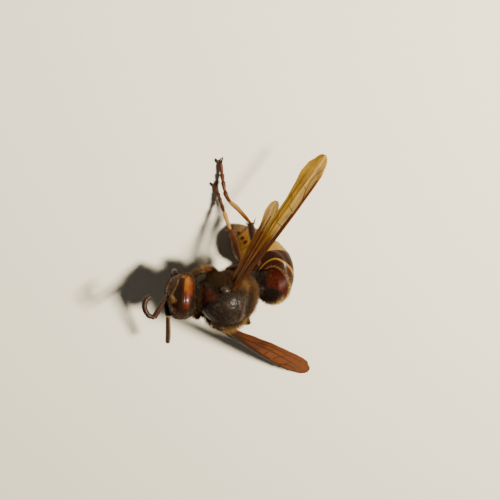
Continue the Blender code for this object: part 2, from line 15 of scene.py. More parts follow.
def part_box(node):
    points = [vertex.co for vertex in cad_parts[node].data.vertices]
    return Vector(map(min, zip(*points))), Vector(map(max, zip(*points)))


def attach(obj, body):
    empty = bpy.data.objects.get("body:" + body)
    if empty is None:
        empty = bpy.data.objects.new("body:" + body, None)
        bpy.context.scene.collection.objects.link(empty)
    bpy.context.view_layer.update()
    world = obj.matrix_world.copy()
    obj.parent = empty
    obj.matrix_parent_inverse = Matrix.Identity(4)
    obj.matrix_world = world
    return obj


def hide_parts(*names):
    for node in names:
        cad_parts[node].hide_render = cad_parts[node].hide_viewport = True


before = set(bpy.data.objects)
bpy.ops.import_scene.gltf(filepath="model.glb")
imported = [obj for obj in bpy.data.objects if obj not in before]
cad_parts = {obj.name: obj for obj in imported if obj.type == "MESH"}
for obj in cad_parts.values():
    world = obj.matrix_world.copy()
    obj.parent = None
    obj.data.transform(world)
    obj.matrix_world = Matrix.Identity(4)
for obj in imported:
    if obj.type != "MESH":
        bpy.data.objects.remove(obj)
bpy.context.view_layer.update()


# Studio: a pale matt table, a warm key lamp low on the insect's right, a wide cool lamp overhead
# and a long lens that looks steeply down on the insect's right side. The thorax is the middle of
# everything, so the frame's place is read from its solid.

MM = 0.001
THORAX_CENTRE = Vector((-0.05, 0.0, 8.0))
thorax_low, thorax_high = (Vector(corner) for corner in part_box("thorax"))
ORIGIN = (thorax_low + thorax_high) / 2 - THORAX_CENTRE * MM
ORIGIN.z = 0.0


def place(point):
    """A point of the hornet's own frame, in millimetres, as a point of the model in metres."""
    return ORIGIN + Vector(point) * MM


def put_in_scene(name, data):
    """A new object of the scene, at the origin."""
    holder = bpy.data.objects.new(name, data)
    bpy.context.scene.collection.objects.link(holder)
    return holder


CAMERA_DISTANCE = 125.0
CAMERA_RANGE = (0.005, 5.0)
FOCAL_PIXELS = 1087.0
PICTURE_SIDE = 500
THORAX_IN_PICTURE = (227, 300)
HEAD_TO_CAMERA_LEFT = Vector((-0.994, 0.042, 0.1))
RIGHT_SIDE_TO_CAMERA_DOWN = Vector((0.09, 0.83, 0.55)).normalized()

across = (HEAD_TO_CAMERA_LEFT - RIGHT_SIDE_TO_CAMERA_DOWN
          * HEAD_TO_CAMERA_LEFT.dot(RIGHT_SIDE_TO_CAMERA_DOWN)).normalized()
upward = RIGHT_SIDE_TO_CAMERA_DOWN.cross(across)
camera_axes = Matrix((across, -RIGHT_SIDE_TO_CAMERA_DOWN, upward)).to_3x3()
to_viewer = camera_axes @ Vector((0.0, 0.0, 1.0))
lens = bpy.data.cameras.new("long_lens")
lens.lens = FOCAL_PIXELS / PICTURE_SIDE * lens.sensor_width
lens.clip_start, lens.clip_end = CAMERA_RANGE
camera = put_in_scene("camera", lens)
aim = Vector((THORAX_IN_PICTURE[0] - PICTURE_SIDE / 2, PICTURE_SIDE / 2 - THORAX_IN_PICTURE[1],
              -FOCAL_PIXELS))
turned = aim.rotation_difference(Vector((0.0, 0.0, -1.0))).to_matrix()
camera.matrix_world = (camera_axes @ turned).to_4x4()
camera.location = place(THORAX_CENTRE + to_viewer * CAMERA_DISTANCE)
bpy.context.scene.camera = camera


def add_lamp(name, direction, distance, side, power, colour):
    """A square soft lamp in a direction given in the picture's own right, up and outward axes."""
    lamp = bpy.data.lights.new(name, "AREA")
    lamp.size = side * MM
    lamp.energy = power
    lamp.color = colour
    holder = put_in_scene(name, lamp)
    heading = (camera_axes @ Vector(direction)).normalized()
    holder.location = place(THORAX_CENTRE + heading * distance)
    holder.rotation_euler = heading.to_track_quat("Z", "Y").to_euler()


add_lamp("key_lamp", direction=(0.6, -0.13, 0.78), distance=260.0, side=36.0, power=2.5,
         colour=(1.0, 0.93, 0.8))
add_lamp("fill_lamp", direction=(0.1, 0.6, 0.8), distance=320.0, side=260.0, power=0.03,
         colour=(0.9, 0.95, 1.0))


def feed(node, inputs):
    """Gives each named input of a node a plain value, or a link from an output of another node."""
    for name, value in inputs.items():
        if isinstance(value, bpy.types.NodeSocket):
            node.id_data.links.new(value, node.inputs[name])
        else:
            node.inputs[name].default_value = value


def new_finish(name):
    """A new material, with its node tree and its shader."""
    finish = bpy.data.materials.new(name)
    finish.use_nodes = True
    return finish, finish.node_tree, finish.node_tree.nodes["Principled BSDF"]


def mesh_object(name, bm, finish):
    data = bpy.data.meshes.new(name)
    bm.to_mesh(data)
    bm.free()
    data.materials.append(finish)
    return put_in_scene(name, data)


sky = bpy.data.worlds.new("soft_sky")
bpy.context.scene.world = sky
sky.use_nodes = True
feed(sky.node_tree.nodes["Background"], {"Color": (0.95, 0.97, 1.0, 1.0), "Strength": 0.07})

TABLE_HALF_SIDE = 600.0
table_top = bmesh.new()
bmesh.ops.create_grid(table_top, x_segments=1, y_segments=1, size=TABLE_HALF_SIDE * MM)
table_paint, _, table_shader = new_finish("pale_table")
feed(table_shader, {"Base Color": (0.8, 0.74, 0.58, 1.0), "Roughness": 0.9})
mesh_object("table", table_top, table_paint)


# Thorax: one arched box of hard chitin, dark red-brown and finely pitted, with seams where its
# plates meet: the collar in front, the back plate, the raised shield behind it and the steep rear
# face above the waist. It carries the head, the legs and the wings.

THORAX_HALF = Vector((3.4, 2.95, 3.1))
THORAX_REAR_DROP = 1.5
THORAX_FRONT_DROP = 0.5
THORAX_INSET = 0.08
COLLAR_SEAM = 2.75
COLLAR_SWEEP = 0.68
SHIELD_FRONT = -1.15
SHIELD_REAR = -2.05
SHIELD_RISE = 0.1
SEAM_DEPTH = 0.06
SEAM_WIDTH = 0.09
MIDDLE_LINE_DEPTH = 0.05
FURROW_DEPTH = 0.04
FURROW_Y = 0.95
FLANK_SEAM_DEPTH = 0.07


def bell(value, width):
    """1 at 0, and less on either side, down to about a third at the width."""
    return math.exp(-((value / width) ** 2))


def clamp(value):
    return min(max(value, 0.0), 1.0)


def step(value, start, end):
    """Rises smoothly from 0 at the start to 1 at the end."""
    share = clamp((value - start) / (end - start))
    return share * share * (3 - 2 * share)


def thorax_seams(point):
    """How far the plates of the thorax stand proud of its smooth shape, or dip into it.

    The numbers given to bell and step, here and below, are places and widths on the piece.
    """
    x, y, z = point
    top = step(z, 0.0, 1.2)
    slant = math.hypot(1.0, 2.0 * COLLAR_SWEEP * y)
    collar = (bell(x - COLLAR_SEAM + COLLAR_SWEEP * y * y, SEAM_WIDTH * slant)
              * step(z, -1.0, 0.0) * 0.7)
    shield = bell(x - SHIELD_FRONT - 0.05 * y * y, SEAM_WIDTH) + bell(x - SHIELD_REAR, SEAM_WIDTH)
    raised = step(x, SHIELD_REAR, SHIELD_REAR + 0.3) * step(-x, -SHIELD_FRONT, 0.3 - SHIELD_FRONT)
    middle = bell(y, 0.05) * step(x, SHIELD_FRONT, 0.2) * step(-x, -1.9, -1.2)
    furrows = bell(abs(y) - FURROW_Y, 0.07) * step(x, SHIELD_FRONT, -0.4) * step(-x, -0.9, 0.1)
    flank = 1.0 - step(z, 0.3, 1.3)
    sides = (bell(x + 0.75 - 0.25 * z, 0.09) + bell(x + 1.75 - 0.2 * z, 0.09)
             + bell(x - 1.5 - 0.2 * z, 0.08))
    return (-SEAM_DEPTH * (collar + 0.6 * shield * top) + SHIELD_RISE * raised * top * bell(y, 1.7)
            - MIDDLE_LINE_DEPTH * middle * top - FURROW_DEPTH * furrows * top
            - FLANK_SEAM_DEPTH * sides * flank)


def thorax_shape(direction):
    """The surface of the thorax in a direction from its middle, given on the unit sphere."""
    drop = THORAX_FRONT_DROP if direction.x > 0 else THORAX_REAR_DROP
    sides = math.copysign(abs(direction.y) ** 0.9, direction.y)
    point = Vector((THORAX_HALF.x * direction.x, THORAX_HALF.y * sides,
                    THORAX_HALF.z * direction.z - drop * direction.x ** 2))
    return THORAX_CENTRE + (point + direction * (thorax_seams(point) - THORAX_INSET))


def model_object(name, bm, finish, slot, *nodes):
    """Makes a finished mesh one piece of the model, which rides with the body and dresses nodes."""
    piece = mesh_object(name, bm, finish)
    piece.data.shade_smooth()
    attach(piece, "root")
    if nodes:
        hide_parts(*nodes)
    return piece


def shaped_ball(shape, segments, rings, tint):
    """A ball with poles along X, pushed into shape, with an unwrap and a tint at each point."""
    bm = bmesh.new()
    bm.loops.layers.uv.new("OFBake")
    marks = bm.verts.layers.float.new("tint")
    bmesh.ops.create_uvsphere(bm, u_segments=segments, v_segments=rings, radius=1.0, calc_uvs=True)
    bmesh.ops.rotate(bm, verts=bm.verts, matrix=Matrix.Rotation(math.radians(90), 3, "Y"))
    for vert in bm.verts:
        point = shape(vert.co)
        vert[marks] = tint(point)
        vert.co = place(point)
    bmesh.ops.recalc_face_normals(bm, faces=bm.faces)
    return bm


def effect(tree, kind, output, inputs, **settings):
    """One output of a new node, whose inputs take plain values or other nodes' outputs."""
    node = tree.nodes.new("ShaderNode" + kind)
    for name, value in settings.items():
        setattr(node, name, value)
    feed(node, inputs)
    return node.outputs[output]


def colour_ramp(tree, value, stops):
    """The colour of a value from 0 to 1 between stops, which each give a place and a colour."""
    ramp = tree.nodes.new("ShaderNodeValToRGB")
    elements = ramp.color_ramp.elements
    while len(elements) < len(stops):
        elements.new(0.5)
    for element, (position, colour) in zip(elements, stops):
        element.position = position
        element.color = (*colour, 1.0)
    feed(ramp, {"Fac": value})
    return ramp.outputs["Color"]


def skin_tint(tree):
    return effect(tree, "Attribute", "Fac", {}, attribute_name="tint")


BLOTCH_COLOUR = (0.25, 0.16, 0.12, 1.0)
DUST_COLOUR = (0.045, 0.037, 0.026, 1.0)
BLOTCHES_PER_METRE = 900.0
DUST_PER_METRE = 2600.0
EDGES_PER_METRE = 1800.0
PIT_DEPTH = 0.03


def chitin_grain():
    """A group that gives chitin its pits, its blotches and its dust, each from its own scale."""
    group = bpy.data.node_groups.new("chitin_grain", "ShaderNodeTree")
    for way, name, kind in (("INPUT", "Colour", "Color"), ("INPUT", "Blotch", "Float"),
                            ("INPUT", "Dust", "Float"), ("INPUT", "Pit Size", "Float"),
                            ("OUTPUT", "Colour", "Color"), ("OUTPUT", "Roughness", "Float"),
                            ("OUTPUT", "Height", "Float")):
        group.interface.new_socket(name=name, in_out=way, socket_type="NodeSocket" + kind)
    given = group.nodes.new("NodeGroupInput").outputs
    where = effect(group, "TexCoord", "Object", {})
    blotches = effect(group, "TexNoise", "Fac",
                      {"Vector": where, "Scale": BLOTCHES_PER_METRE, "Detail": 4.0})
    pits = effect(group, "TexVoronoi", "Distance", {"Vector": where, "Scale": given["Pit Size"]})
    shade = effect(group, "MapRange", "Result",
                   {"Value": blotches, "From Min": 0.3, "From Max": 0.7})
    depth = effect(group, "Math", "Value", {0: shade, 1: given["Blotch"]}, operation="MULTIPLY")
    darker = effect(group, "Mix", "Result",
                    {"Factor": depth, "A": given["Colour"], "B": BLOTCH_COLOUR},
                    data_type="RGBA", blend_type="MULTIPLY")
    settled = effect(group, "TexNoise", "Fac",
                     {"Vector": where, "Scale": DUST_PER_METRE, "Detail": 6.0})
    cover = effect(group, "MapRange", "Result",
                   {"Value": settled, "From Min": 0.48, "From Max": 0.72})
    dustiness = effect(group, "Math", "Value", {0: cover, 1: given["Dust"]}, operation="MULTIPLY")
    dusty = effect(group, "Mix", "Result", {"Factor": dustiness, "A": darker, "B": DUST_COLOUR},
                   data_type="RGBA")
    gloss = effect(group, "MapRange", "Result", {"Value": settled, "To Min": 0.3, "To Max": 0.5})
    feed(group.nodes.new("NodeGroupOutput"), {"Colour": dusty, "Roughness": gloss, "Height": pits})
    return group


grain = chitin_grain()


def chitin(name, stops, blotch, dust, shine, coat=0.0, pit_size=9000.0, bump=0.25, ragged=0.0):
    """Chitin whose colours follow the tint of each point, from 0 to 1, through the stops."""
    finish, tree, shader = new_finish(name)
    where = effect(tree, "TexCoord", "Object", {})
    edge = effect(tree, "TexNoise", "Fac",
                  {"Vector": where, "Scale": EDGES_PER_METRE, "Detail": 3.0})
    shift = effect(tree, "MapRange", "Result", {"Value": edge, "To Min": -ragged, "To Max": ragged})
    moved = effect(tree, "Math", "Value", {0: skin_tint(tree), 1: shift})
    texture = tree.nodes.new("ShaderNodeGroup")
    texture.node_tree = grain
    feed(texture, {"Colour": colour_ramp(tree, moved, stops), "Blotch": blotch, "Dust": dust,
                   "Pit Size": pit_size})
    relief = effect(tree, "Bump", "Normal", {"Height": texture.outputs["Height"], "Strength": bump,
                                             "Distance": PIT_DEPTH * MM})
    feed(shader, {"Base Color": texture.outputs["Colour"], "Normal": relief,
                  "Roughness": texture.outputs["Roughness"], "Coat Weight": coat,
                  "Coat Roughness": 0.12, "Specular IOR Level": shine})
    return finish


BLACK = (0.006, 0.004, 0.003)
DARK_BROWN = (0.018, 0.007, 0.0035)
RED_BROWN = (0.07, 0.009, 0.004)


def thorax_tint(point):
    """0 for black, 0.35 for dark brown and 1 for the red of collar, shield and flanks."""
    x, y, z = point - THORAX_CENTRE
    swept = x + COLLAR_SWEEP * y * y
    collar = (step(swept, 2.78, 2.95) * (1 - step(swept, 4.3, 5.6)) * step(z, -0.8, 0.4)
              * step(abs(y), 0.2, 0.6)) * step(x, 1.0, 1.7)
    shield = (step(x, -2.2, -1.9) * step(-x, 1.05, 1.25) * bell(abs(y) - 0.75, 0.55)
              * step(z, 0.5, 1.5))
    stripes = (bell(abs(y) - FURROW_Y, 0.25) * step(x, -0.9, -0.2) * step(-x, -1.2, 0.2)
               * step(z, 1.0, 2.0))
    flank = 0.3 * (1 - step(z, -0.2, 1.6)) * bell(x + 0.2, 2.2)
    blotch = noise.noise(point * 0.9) * 0.14
    return clamp(0.12 + 0.75 * collar + 0.4 * shield + 0.16 * stripes + flank + blotch)


thorax_chitin = chitin("thorax_chitin", ((0.0, (0.01, 0.0075, 0.0055)),
                                         (0.35, (0.024, 0.013, 0.008)), (1.0, RED_BROWN)),
                       blotch=0.5, dust=0.55, shine=0.14, pit_size=5200.0, bump=0.8)
thorax = model_object("thorax_shell", shaped_ball(thorax_shape, 144, 100, thorax_tint),
                      thorax_chitin, "thorax_cuticle", "thorax")


# Head: a hard capsule bent down in front of the thorax, dark on its crown, with a broad cheek
# behind each eye that turns from red to yellow and yellow marks beside the eyes, which are paled
# to a painted highlight. The yellow face shield bulges below the feelers' sockets.

HEAD_CENTRE = Vector((5.1, 0.35, 7.05))
HEAD_CROWN = Vector((0.0, 0.62, 0.77)).normalized()
HEAD_HALF = Vector((1.6, 2.65, 2.5))
HEAD_BOXY = 0.74
HEAD_INSET = 0.03
CLYPEUS_BULGE = 0.35
FACE_SLOPE = 0.9
FACE_SLOPE_FROM = 1.1
FACE_SLOPE_TO = 2.7
SOCKET_Y = 0.7
SOCKET_Z = 0.45
EYE_RIM_DEPTH = 0.07
BROW_LINE_DEPTH = 0.05
SHIELD_EDGE_DEPTH = 0.07
SOCKET_DEPTH = 0.14
NECK_HOLLOW_DEPTH = 0.12
EYE_MIDDLE_Y = 2.85
EYE_MIDDLE_Z = 0.3
EYE_HALF_WIDTH = 1.0
EYE_HALF_HEIGHT = 2.4
EYE_NOTCH_DEPTH = 0.4
EYE_NOTCH_Z = 1.2
EYE_NOTCH_WIDTH = 0.42
EYE_BACK = -0.08
EYE_LOWER_TAPER = 0.4
EYE_TOP_LEAN = 0.35
head_ahead = Vector((1.0, 0.0, 0.0))
head_axes = Matrix((head_ahead, HEAD_CROWN.cross(head_ahead), HEAD_CROWN)).transposed()


def on_head(point):
    """A point given forward, left and up towards the crown from the middle of the head."""
    return HEAD_CENTRE + head_axes @ Vector(point)


def boxy(value):
    """Pushes a share of a half size outwards, which turns an oval into a rounded box."""
    return math.copysign(abs(value) ** HEAD_BOXY, value)


def head_surface(direction):
    """The smooth shape of the head, before its rims and furrows."""
    point = Vector((HEAD_HALF.x * boxy(direction.x), HEAD_HALF.y * boxy(direction.y),
                    HEAD_HALF.z * boxy(direction.z)))
    if direction.x > 0:
        point.x += CLYPEUS_BULGE * bell(point.y, 1.2) * bell(point.z + 0.7, 1.3)
        point.x -= (FACE_SLOPE * step(abs(point.y), FACE_SLOPE_FROM, FACE_SLOPE_TO) * point.x
                    / HEAD_HALF.x)
    return point


def inside_eye(point):
    """How far a point lies inside the outline of its eye, as a share, or outside where negative."""
    x, y, z = point
    notch = EYE_NOTCH_DEPTH * bell(z - EYE_NOTCH_Z, EYE_NOTCH_WIDTH)
    taper = EYE_LOWER_TAPER * step(-z, -0.6, 0.9)
    lean = EYE_TOP_LEAN * max(z - 0.6, 0.0)
    width = (abs(y) - notch - EYE_MIDDLE_Y + lean) / (EYE_HALF_WIDTH - taper)
    height = (z - EYE_MIDDLE_Z) / EYE_HALF_HEIGHT
    outline = 1.0 - math.hypot(min(width, 0.0), height)
    return min(outline, (x - EYE_BACK + 0.03 * z * z) * 0.9)


def in_shield(y, z):
    """Less than 1 on the face shield, which is an oval that widens downwards, and 1 on its edge."""
    return math.hypot(y / (1.2 - 0.2 * z), (z + 0.95) / 1.25)


def from_socket(y, z):
    return math.hypot(abs(y) - SOCKET_Y, z - SOCKET_Z)


def head_details(point):
    """How far the rims, lines and hollows of the capsule dip into its smooth shape."""
    x, y, z = point
    front = step(x, 0.2, 1.0)
    rim = -EYE_RIM_DEPTH * bell(inside_eye(point) + 0.1, 0.08)
    brow = -BROW_LINE_DEPTH * bell(y, 0.05) * front * step(z, 0.5, 1.0)
    shield_edge = -SHIELD_EDGE_DEPTH * bell(in_shield(y, z) - 1.0, 0.07) * front
    sockets = -SOCKET_DEPTH * bell(from_socket(y, z), 0.33) * front
    neck = -NECK_HOLLOW_DEPTH * (1 - step(x, -1.5, -1.1)) * bell(math.hypot(y, z), 1.4)
    return rim + brow + shield_edge + sockets + neck


def head_shape(direction):
    point = head_surface(direction)
    return on_head(point + direction * (head_details(point) - HEAD_INSET))


def head_tint(point):
    """0 for black seams, 0.18 dark brown, 0.36 red, 0.6 orange, 0.84 yellow and 1 pale yellow,
    which is a painted highlight on the strip beside each eye.
    """
    x, y, z = head_axes.transposed() @ (point - HEAD_CENTRE)
    eye = inside_eye((x, y, z))
    front = step(x, 0.35, 0.6) * (1 - step(z, 1.2, 1.7))
    ahead = step(x, 0.4, 0.7)
    strip = bell(eye + 0.24, 0.2) * front
    shield = 1 - step(in_shield(y, z), 0.8, 1.05)
    notch = bell(z - EYE_NOTCH_Z, 0.6) * bell(abs(y) - 1.75, 0.55)
    # Beside the shield the face is dark red-brown, partly its own colour and partly painted shade.
    face = front * max(0.27, 0.8 * shield) + 0.5 * notch * ahead
    brow_spot = 0.62 * bell(z - 1.85, 0.32) * bell(abs(y) - 1.25, 0.5) * ahead
    low_cheek = 1 - step(z, -0.1, 0.55)
    cheek = (step(abs(y), 1.2, 1.7) * (1 - step(z, 2.0, 2.3)) * (1 - step(x, 0.2, 0.5))
             * (1 - step(-z, 1.6, 2.3)))
    cheek_shade = 0.36 + low_cheek * (0.32 + 0.14 * step(-z, 0.2, 1.6))
    # The strip is lifted into the pale yellow of a painted highlight.
    shade = max(0.16, face, brow_spot, min(strip * 1.3, 1.0), cheek * cheek_shade)
    back = 1 - step(x, -1.5, -1.0)
    seam = bell(eye + 0.02, 0.035) + bell(from_socket(y, z), 0.25) * front
    rear_fade = (0.3 * step(-x, 0.4, 0.95) * low_cheek
                 + 0.22 * step(-x, 0.5, 0.95) * step(z, 0.3, 1.2)
                 + 0.16 * step(-z, 0.9, 1.6) * cheek)
    shade -= 0.6 * back + 0.3 * seam + rear_fade
    return clamp(shade + noise.noise(point * 2.3) * 0.08)


# The pale yellow last stop is a painted highlight for the strip beside each eye.
head_chitin = chitin("head_chitin", ((0.0, BLACK), (0.18, (0.022, 0.007, 0.003)),
                                     (0.36, (0.09, 0.013, 0.004)), (0.6, (0.15, 0.045, 0.003)),
                                     (0.84, (0.2, 0.095, 0.006)), (1.0, (0.52, 0.31, 0.12))),
                     blotch=0.35, dust=0.1, shine=0.14, coat=0.16, ragged=0.08)
head = model_object("head_capsule", shaped_ball(head_shape, 144, 96, head_tint), head_chitin,
                    "head_cuticle", "head")


# Eyes: two kidney-shaped compound eyes, bare and dark, whose thousands of facets only show as a
# fine honeycomb, and three small single eyes like glass beads on the crown.

EYE_INSET = 0.1
EYE_RISE = 0.22
EYE_SEGMENTS = 160
EYE_RINGS = 112
FACETS_PER_METRE = 26000.0
FACET_DEPTH = 0.01
SMALL_EYE_RADIUS = 0.17
SMALL_EYE_SEATS = ((0.0, 0.0), (0.42, 0.32), (-0.42, 0.32))
SIDES = (("left", 1), ("right", -1))


def eye_shape(direction):
    smooth = head_surface(direction)
    rise = EYE_RISE * step(inside_eye(smooth), -0.05, 0.06)
    return on_head(smooth + direction * (-EYE_INSET + rise))


eye_facets, eye_tree, eye_shader = new_finish("eye_facets")
eye_place = effect(eye_tree, "TexCoord", "Object", {})
facets = effect(eye_tree, "TexVoronoi", "Distance",
                {"Vector": eye_place, "Scale": FACETS_PER_METRE})
cloud = effect(eye_tree, "TexNoise", "Fac", {"Vector": eye_place, "Scale": 700.0})
feed(eye_shader, {
    "Base Color": colour_ramp(eye_tree, cloud, ((0.35, (0.012, 0.0035, 0.001)),
                                                (0.75, (0.034, 0.01, 0.003)))),
    "Normal": effect(eye_tree, "Bump", "Normal", {"Height": facets, "Strength": 0.12,
                                                  "Distance": FACET_DEPTH * MM}),
    "Roughness": 0.5, "Specular IOR Level": 0.08, "Coat Weight": 0.01, "Coat Roughness": 0.08,
})
for side_name, side in SIDES:
    bm = bmesh.new()
    bmesh.ops.create_uvsphere(bm, u_segments=EYE_SEGMENTS, v_segments=EYE_RINGS, radius=1.0)
    bmesh.ops.rotate(bm, verts=bm.verts, matrix=Matrix.Rotation(math.radians(90), 3, "Y"))
    hidden = [vert for vert in bm.verts
              if vert.co.y * side < 0.2 or inside_eye(head_surface(vert.co)) < -0.07]
    bmesh.ops.delete(bm, geom=hidden, context="VERTS")
    for vert in bm.verts:
        vert.co = place(eye_shape(vert.co))
    bmesh.ops.holes_fill(bm, edges=[edge for edge in bm.edges if edge.is_boundary], sides=0)
    bmesh.ops.recalc_face_normals(bm, faces=bm.faces)
    model_object("compound_eye_" + side_name, bm, eye_facets, "eyes", "eye_" + side_name)

bm = bmesh.new()
for y, z in SMALL_EYE_SEATS:
    crown = head_surface(Vector((0.55, y / 2.6, 1.0)).normalized())
    seat = on_head(crown + Vector((-z, 0.0, -0.02)))
    bmesh.ops.create_uvsphere(bm, u_segments=20, v_segments=12, radius=SMALL_EYE_RADIUS * MM,
                              matrix=Matrix.Translation(place(seat)))
model_object("small_eyes", bm, eye_facets, "eyes")


# Jaws: two short toothed blades hinged below the cheeks, black along the biting edge and dark
# brown at the root, darker than their own orange-brown as painted shade, closed across the mouth
# with their tips crossed a little.

JAW_ROUTE = ((0.35, 1.15, -1.6), (0.8, 1.15, -2.2), (1.0, 0.8, -2.65), (1.0, 0.25, -2.95))
JAW_RADII = (0.4, 0.44, 0.42, 0.34, 0.14)
# The jaws' tints are kept low as painted shade.
JAW_TINTS = (0.4, 0.3, 0.2, 0.06, 0.0)
JAW_FLAT = 0.8
TOOTH_SHARES = (0.62, 0.78, 0.92)
TOOTH_RADII = (0.26, 0.2, 0.03)
THINNEST_RADIUS = 0.012
ROUTE_STEPS = 24
UNWRAP_CELLS = 4


def curve(p0, p1, p2, p3, t):
    """A point at share t of the smooth line from p1 to p2, with p0 before it and p3 after it."""
    return (p1 * 2 + (p2 - p0) * t + (p0 * 2 - p1 * 5 + p2 * 4 - p3) * t * t
            + (p1 * 3 - p0 - p2 * 3 + p3) * t ** 3) / 2


def smooth_route(points, spacing):
    """Evenly spaced points on a smooth line through the given points."""
    points = [Vector(point) for point in points]
    ends = [points[0] * 2 - points[1], *points, points[-1] * 2 - points[-2]]
    dense = [curve(*four, number / ROUTE_STEPS)
             for four in zip(ends, ends[1:], ends[2:], ends[3:]) for number in range(ROUTE_STEPS)]
    dense.append(points[-1])
    reached = [0.0]
    for before, after in zip(dense, dense[1:]):
        reached.append(reached[-1] + (after - before).length)
    count = max(2, round(reached[-1] / spacing))
    even = []
    for number in range(count + 1):
        distance = reached[-1] * number / count
        index = min(max(np.searchsorted(reached, distance), 1), len(dense) - 1)
        share = (distance - reached[index - 1]) / (reached[index] - reached[index - 1])
        even.append(dense[index - 1].lerp(dense[index], share))
    return even


def straight_route(start, end, spacing, lift=0.0):
    """A route from end to end, whose middle may be lifted a little."""
    return smooth_route([start, start.lerp(end, 0.5) + Vector((0.0, 0.0, lift)), end], spacing)


def read_at(values, share):
    """Reads a list of numbers at a share of its length from 0 to 1."""
    spot = clamp(share) * (len(values) - 1)
    index = min(int(spot), len(values) - 2)
    return values[index] + (values[index + 1] - values[index]) * (spot - index)


def first_ring(bm, sides, matrix, closed):
    """A ring of points with its edges, from which a piece is extruded."""
    ring = bmesh.ops.create_circle(bm, cap_ends=closed, radius=1.0, segments=sides,
                                   matrix=matrix)["verts"]
    return ring, list(dict.fromkeys(edge for vert in ring for edge in vert.link_edges))


def next_ring(bm, edges):
    """Extrudes the edges of a ring, and gives the points and the edges of the new one."""
    grown = bmesh.ops.extrude_edge_only(bm, edges=edges)["geom"]
    ring = [item for item in grown if isinstance(item, bmesh.types.BMVert)]
    members = set(ring)
    return ring, [item for item in grown if isinstance(item, bmesh.types.BMEdge)
                  and item.verts[0] in members and item.verts[1] in members]


def unwrap(bm, faces, turns, ways, corner, size):
    """Lays faces out flat by their turn and their way along, each from 0 to 1, in a square."""
    spread = bm.loops.layers.uv.get("OFBake") or bm.loops.layers.uv.new("OFBake")
    for face in faces:
        around = [vert[turns] for vert in face.verts]
        seam = max(around) - min(around) > 0.5
        for loop in face.loops:
            turn = loop.vert[turns]
            if seam and turn < 0.5:
                turn = 1.0
            loop[spread].uv = (corner[0] + size * turn, corner[1] + size * loop.vert[ways])


def bar(bm, points, radii, sides, tints, flat=1.0, girth=1.0, cell=0):
    """Draws a closed round bar: a disc at the first point, extruded to each next one.

    Its radii and tints are lists that are read along it, or functions of the share of its length,
    and for a tint also of the direction from its middle line. Its unwrap, the turn about the bar
    against the way along it, fills one cell of sixteen.
    """
    marks, turns, ways = (bm.verts.layers.float.get(name) or bm.verts.layers.float.new(name)
                          for name in ("tint", "turn", "way"))
    last = len(points) - 1
    headings = [(points[min(i + 1, last)] - points[max(i - 1, 0)]).normalized()
                for i in range(last + 1)]
    turn = headings[0].to_track_quat("Z", "Y")
    seats = []
    for number, heading in enumerate(headings):
        if number:
            turn = headings[number - 1].rotation_difference(heading) @ turn
        share = number / last
        radius = radii(share) if callable(radii) else read_at(radii, share)
        size = max(girth * radius, THINNEST_RADIUS) * MM
        seats.append(Matrix.LocRotScale(place(points[number]), turn,
                                        Vector((size, size * flat, size))))
    ring, edges = first_ring(bm, sides, seats[0], True)
    made = list(ring)
    for number, seat in enumerate(seats):
        if number:
            ring, edges = next_ring(bm, edges)
            bmesh.ops.transform(bm, matrix=seat @ seats[number - 1].inverted(), verts=ring)
            made += ring
        share = number / last
        for vert in ring:
            offset = (vert.co - seat.translation).normalized()
            vert[marks] = tints(share, offset) if callable(tints) else read_at(tints, share)
            flat_offset = seat.inverted() @ vert.co
            vert[turns] = math.atan2(flat_offset.y, flat_offset.x) / math.tau + 0.5
            vert[ways] = share
    bmesh.ops.holes_fill(bm, edges=edges, sides=0)
    faces = list(dict.fromkeys(face for vert in made for face in vert.link_faces))
    bmesh.ops.recalc_face_normals(bm, faces=faces)
    corner = (cell % UNWRAP_CELLS / UNWRAP_CELLS, cell // UNWRAP_CELLS / UNWRAP_CELLS)
    unwrap(bm, faces, turns, ways, corner, 1 / UNWRAP_CELLS)


limb_chitin = chitin("limb_chitin", ((0.0, BLACK), (0.3, DARK_BROWN), (0.55, (0.065, 0.015, 0.004)),
                                     (0.8, (0.18, 0.055, 0.01)), (1.0, (0.42, 0.24, 0.06))),
                     blotch=0.25, dust=0.1, shine=0.14, coat=0.04, ragged=0.04)
for side_name, side in SIDES:
    bm = bmesh.new()
    route = smooth_route([on_head((x, y * side, z)) for x, y, z in JAW_ROUTE], 0.12)
    bar(bm, route, JAW_RADII, 20, JAW_TINTS, JAW_FLAT)
    for share in TOOTH_SHARES:
        root = read_at(route, share)
        tip = root + head_axes @ Vector((0.05, -side * 0.25, -0.52)) * (1.1 - share * 0.5)
        bar(bm, straight_route(root, tip, 0.08), TOOTH_RADII, 10, (0.0,))
    model_object("jaw_" + side_name, bm, limb_chitin, "mandibles", "mandible_" + side_name)


# Feelers: a long first joint, a bead at the elbow and ten short joints that narrow at each seam,
# with a dull velvet surface. The left one is brown above and orange below, its orange widened and
# brightened as painted light, and the right one is kept dark as painted shade.

SOCKET_X = 1.35
FEELER_ROUTES = {
    "right": (-1, (3.15, -0.9, 3.0), ((3.8, -1.2, 2.8), (4.25, -1.55, 2.1), (4.15, -1.75, 1.2),
                                      (3.55, -1.7, 0.65))),
    "left": (1, (1.4, 1.75, 1.9), ((1.35, 2.7, 2.25), (1.25, 4.05, 2.65), (1.15, 5.6, 3.1),
                                   (1.1, 7.3, 3.58))),
}
FEELER_SIDES = 18
FEELER_JOINTS = 10
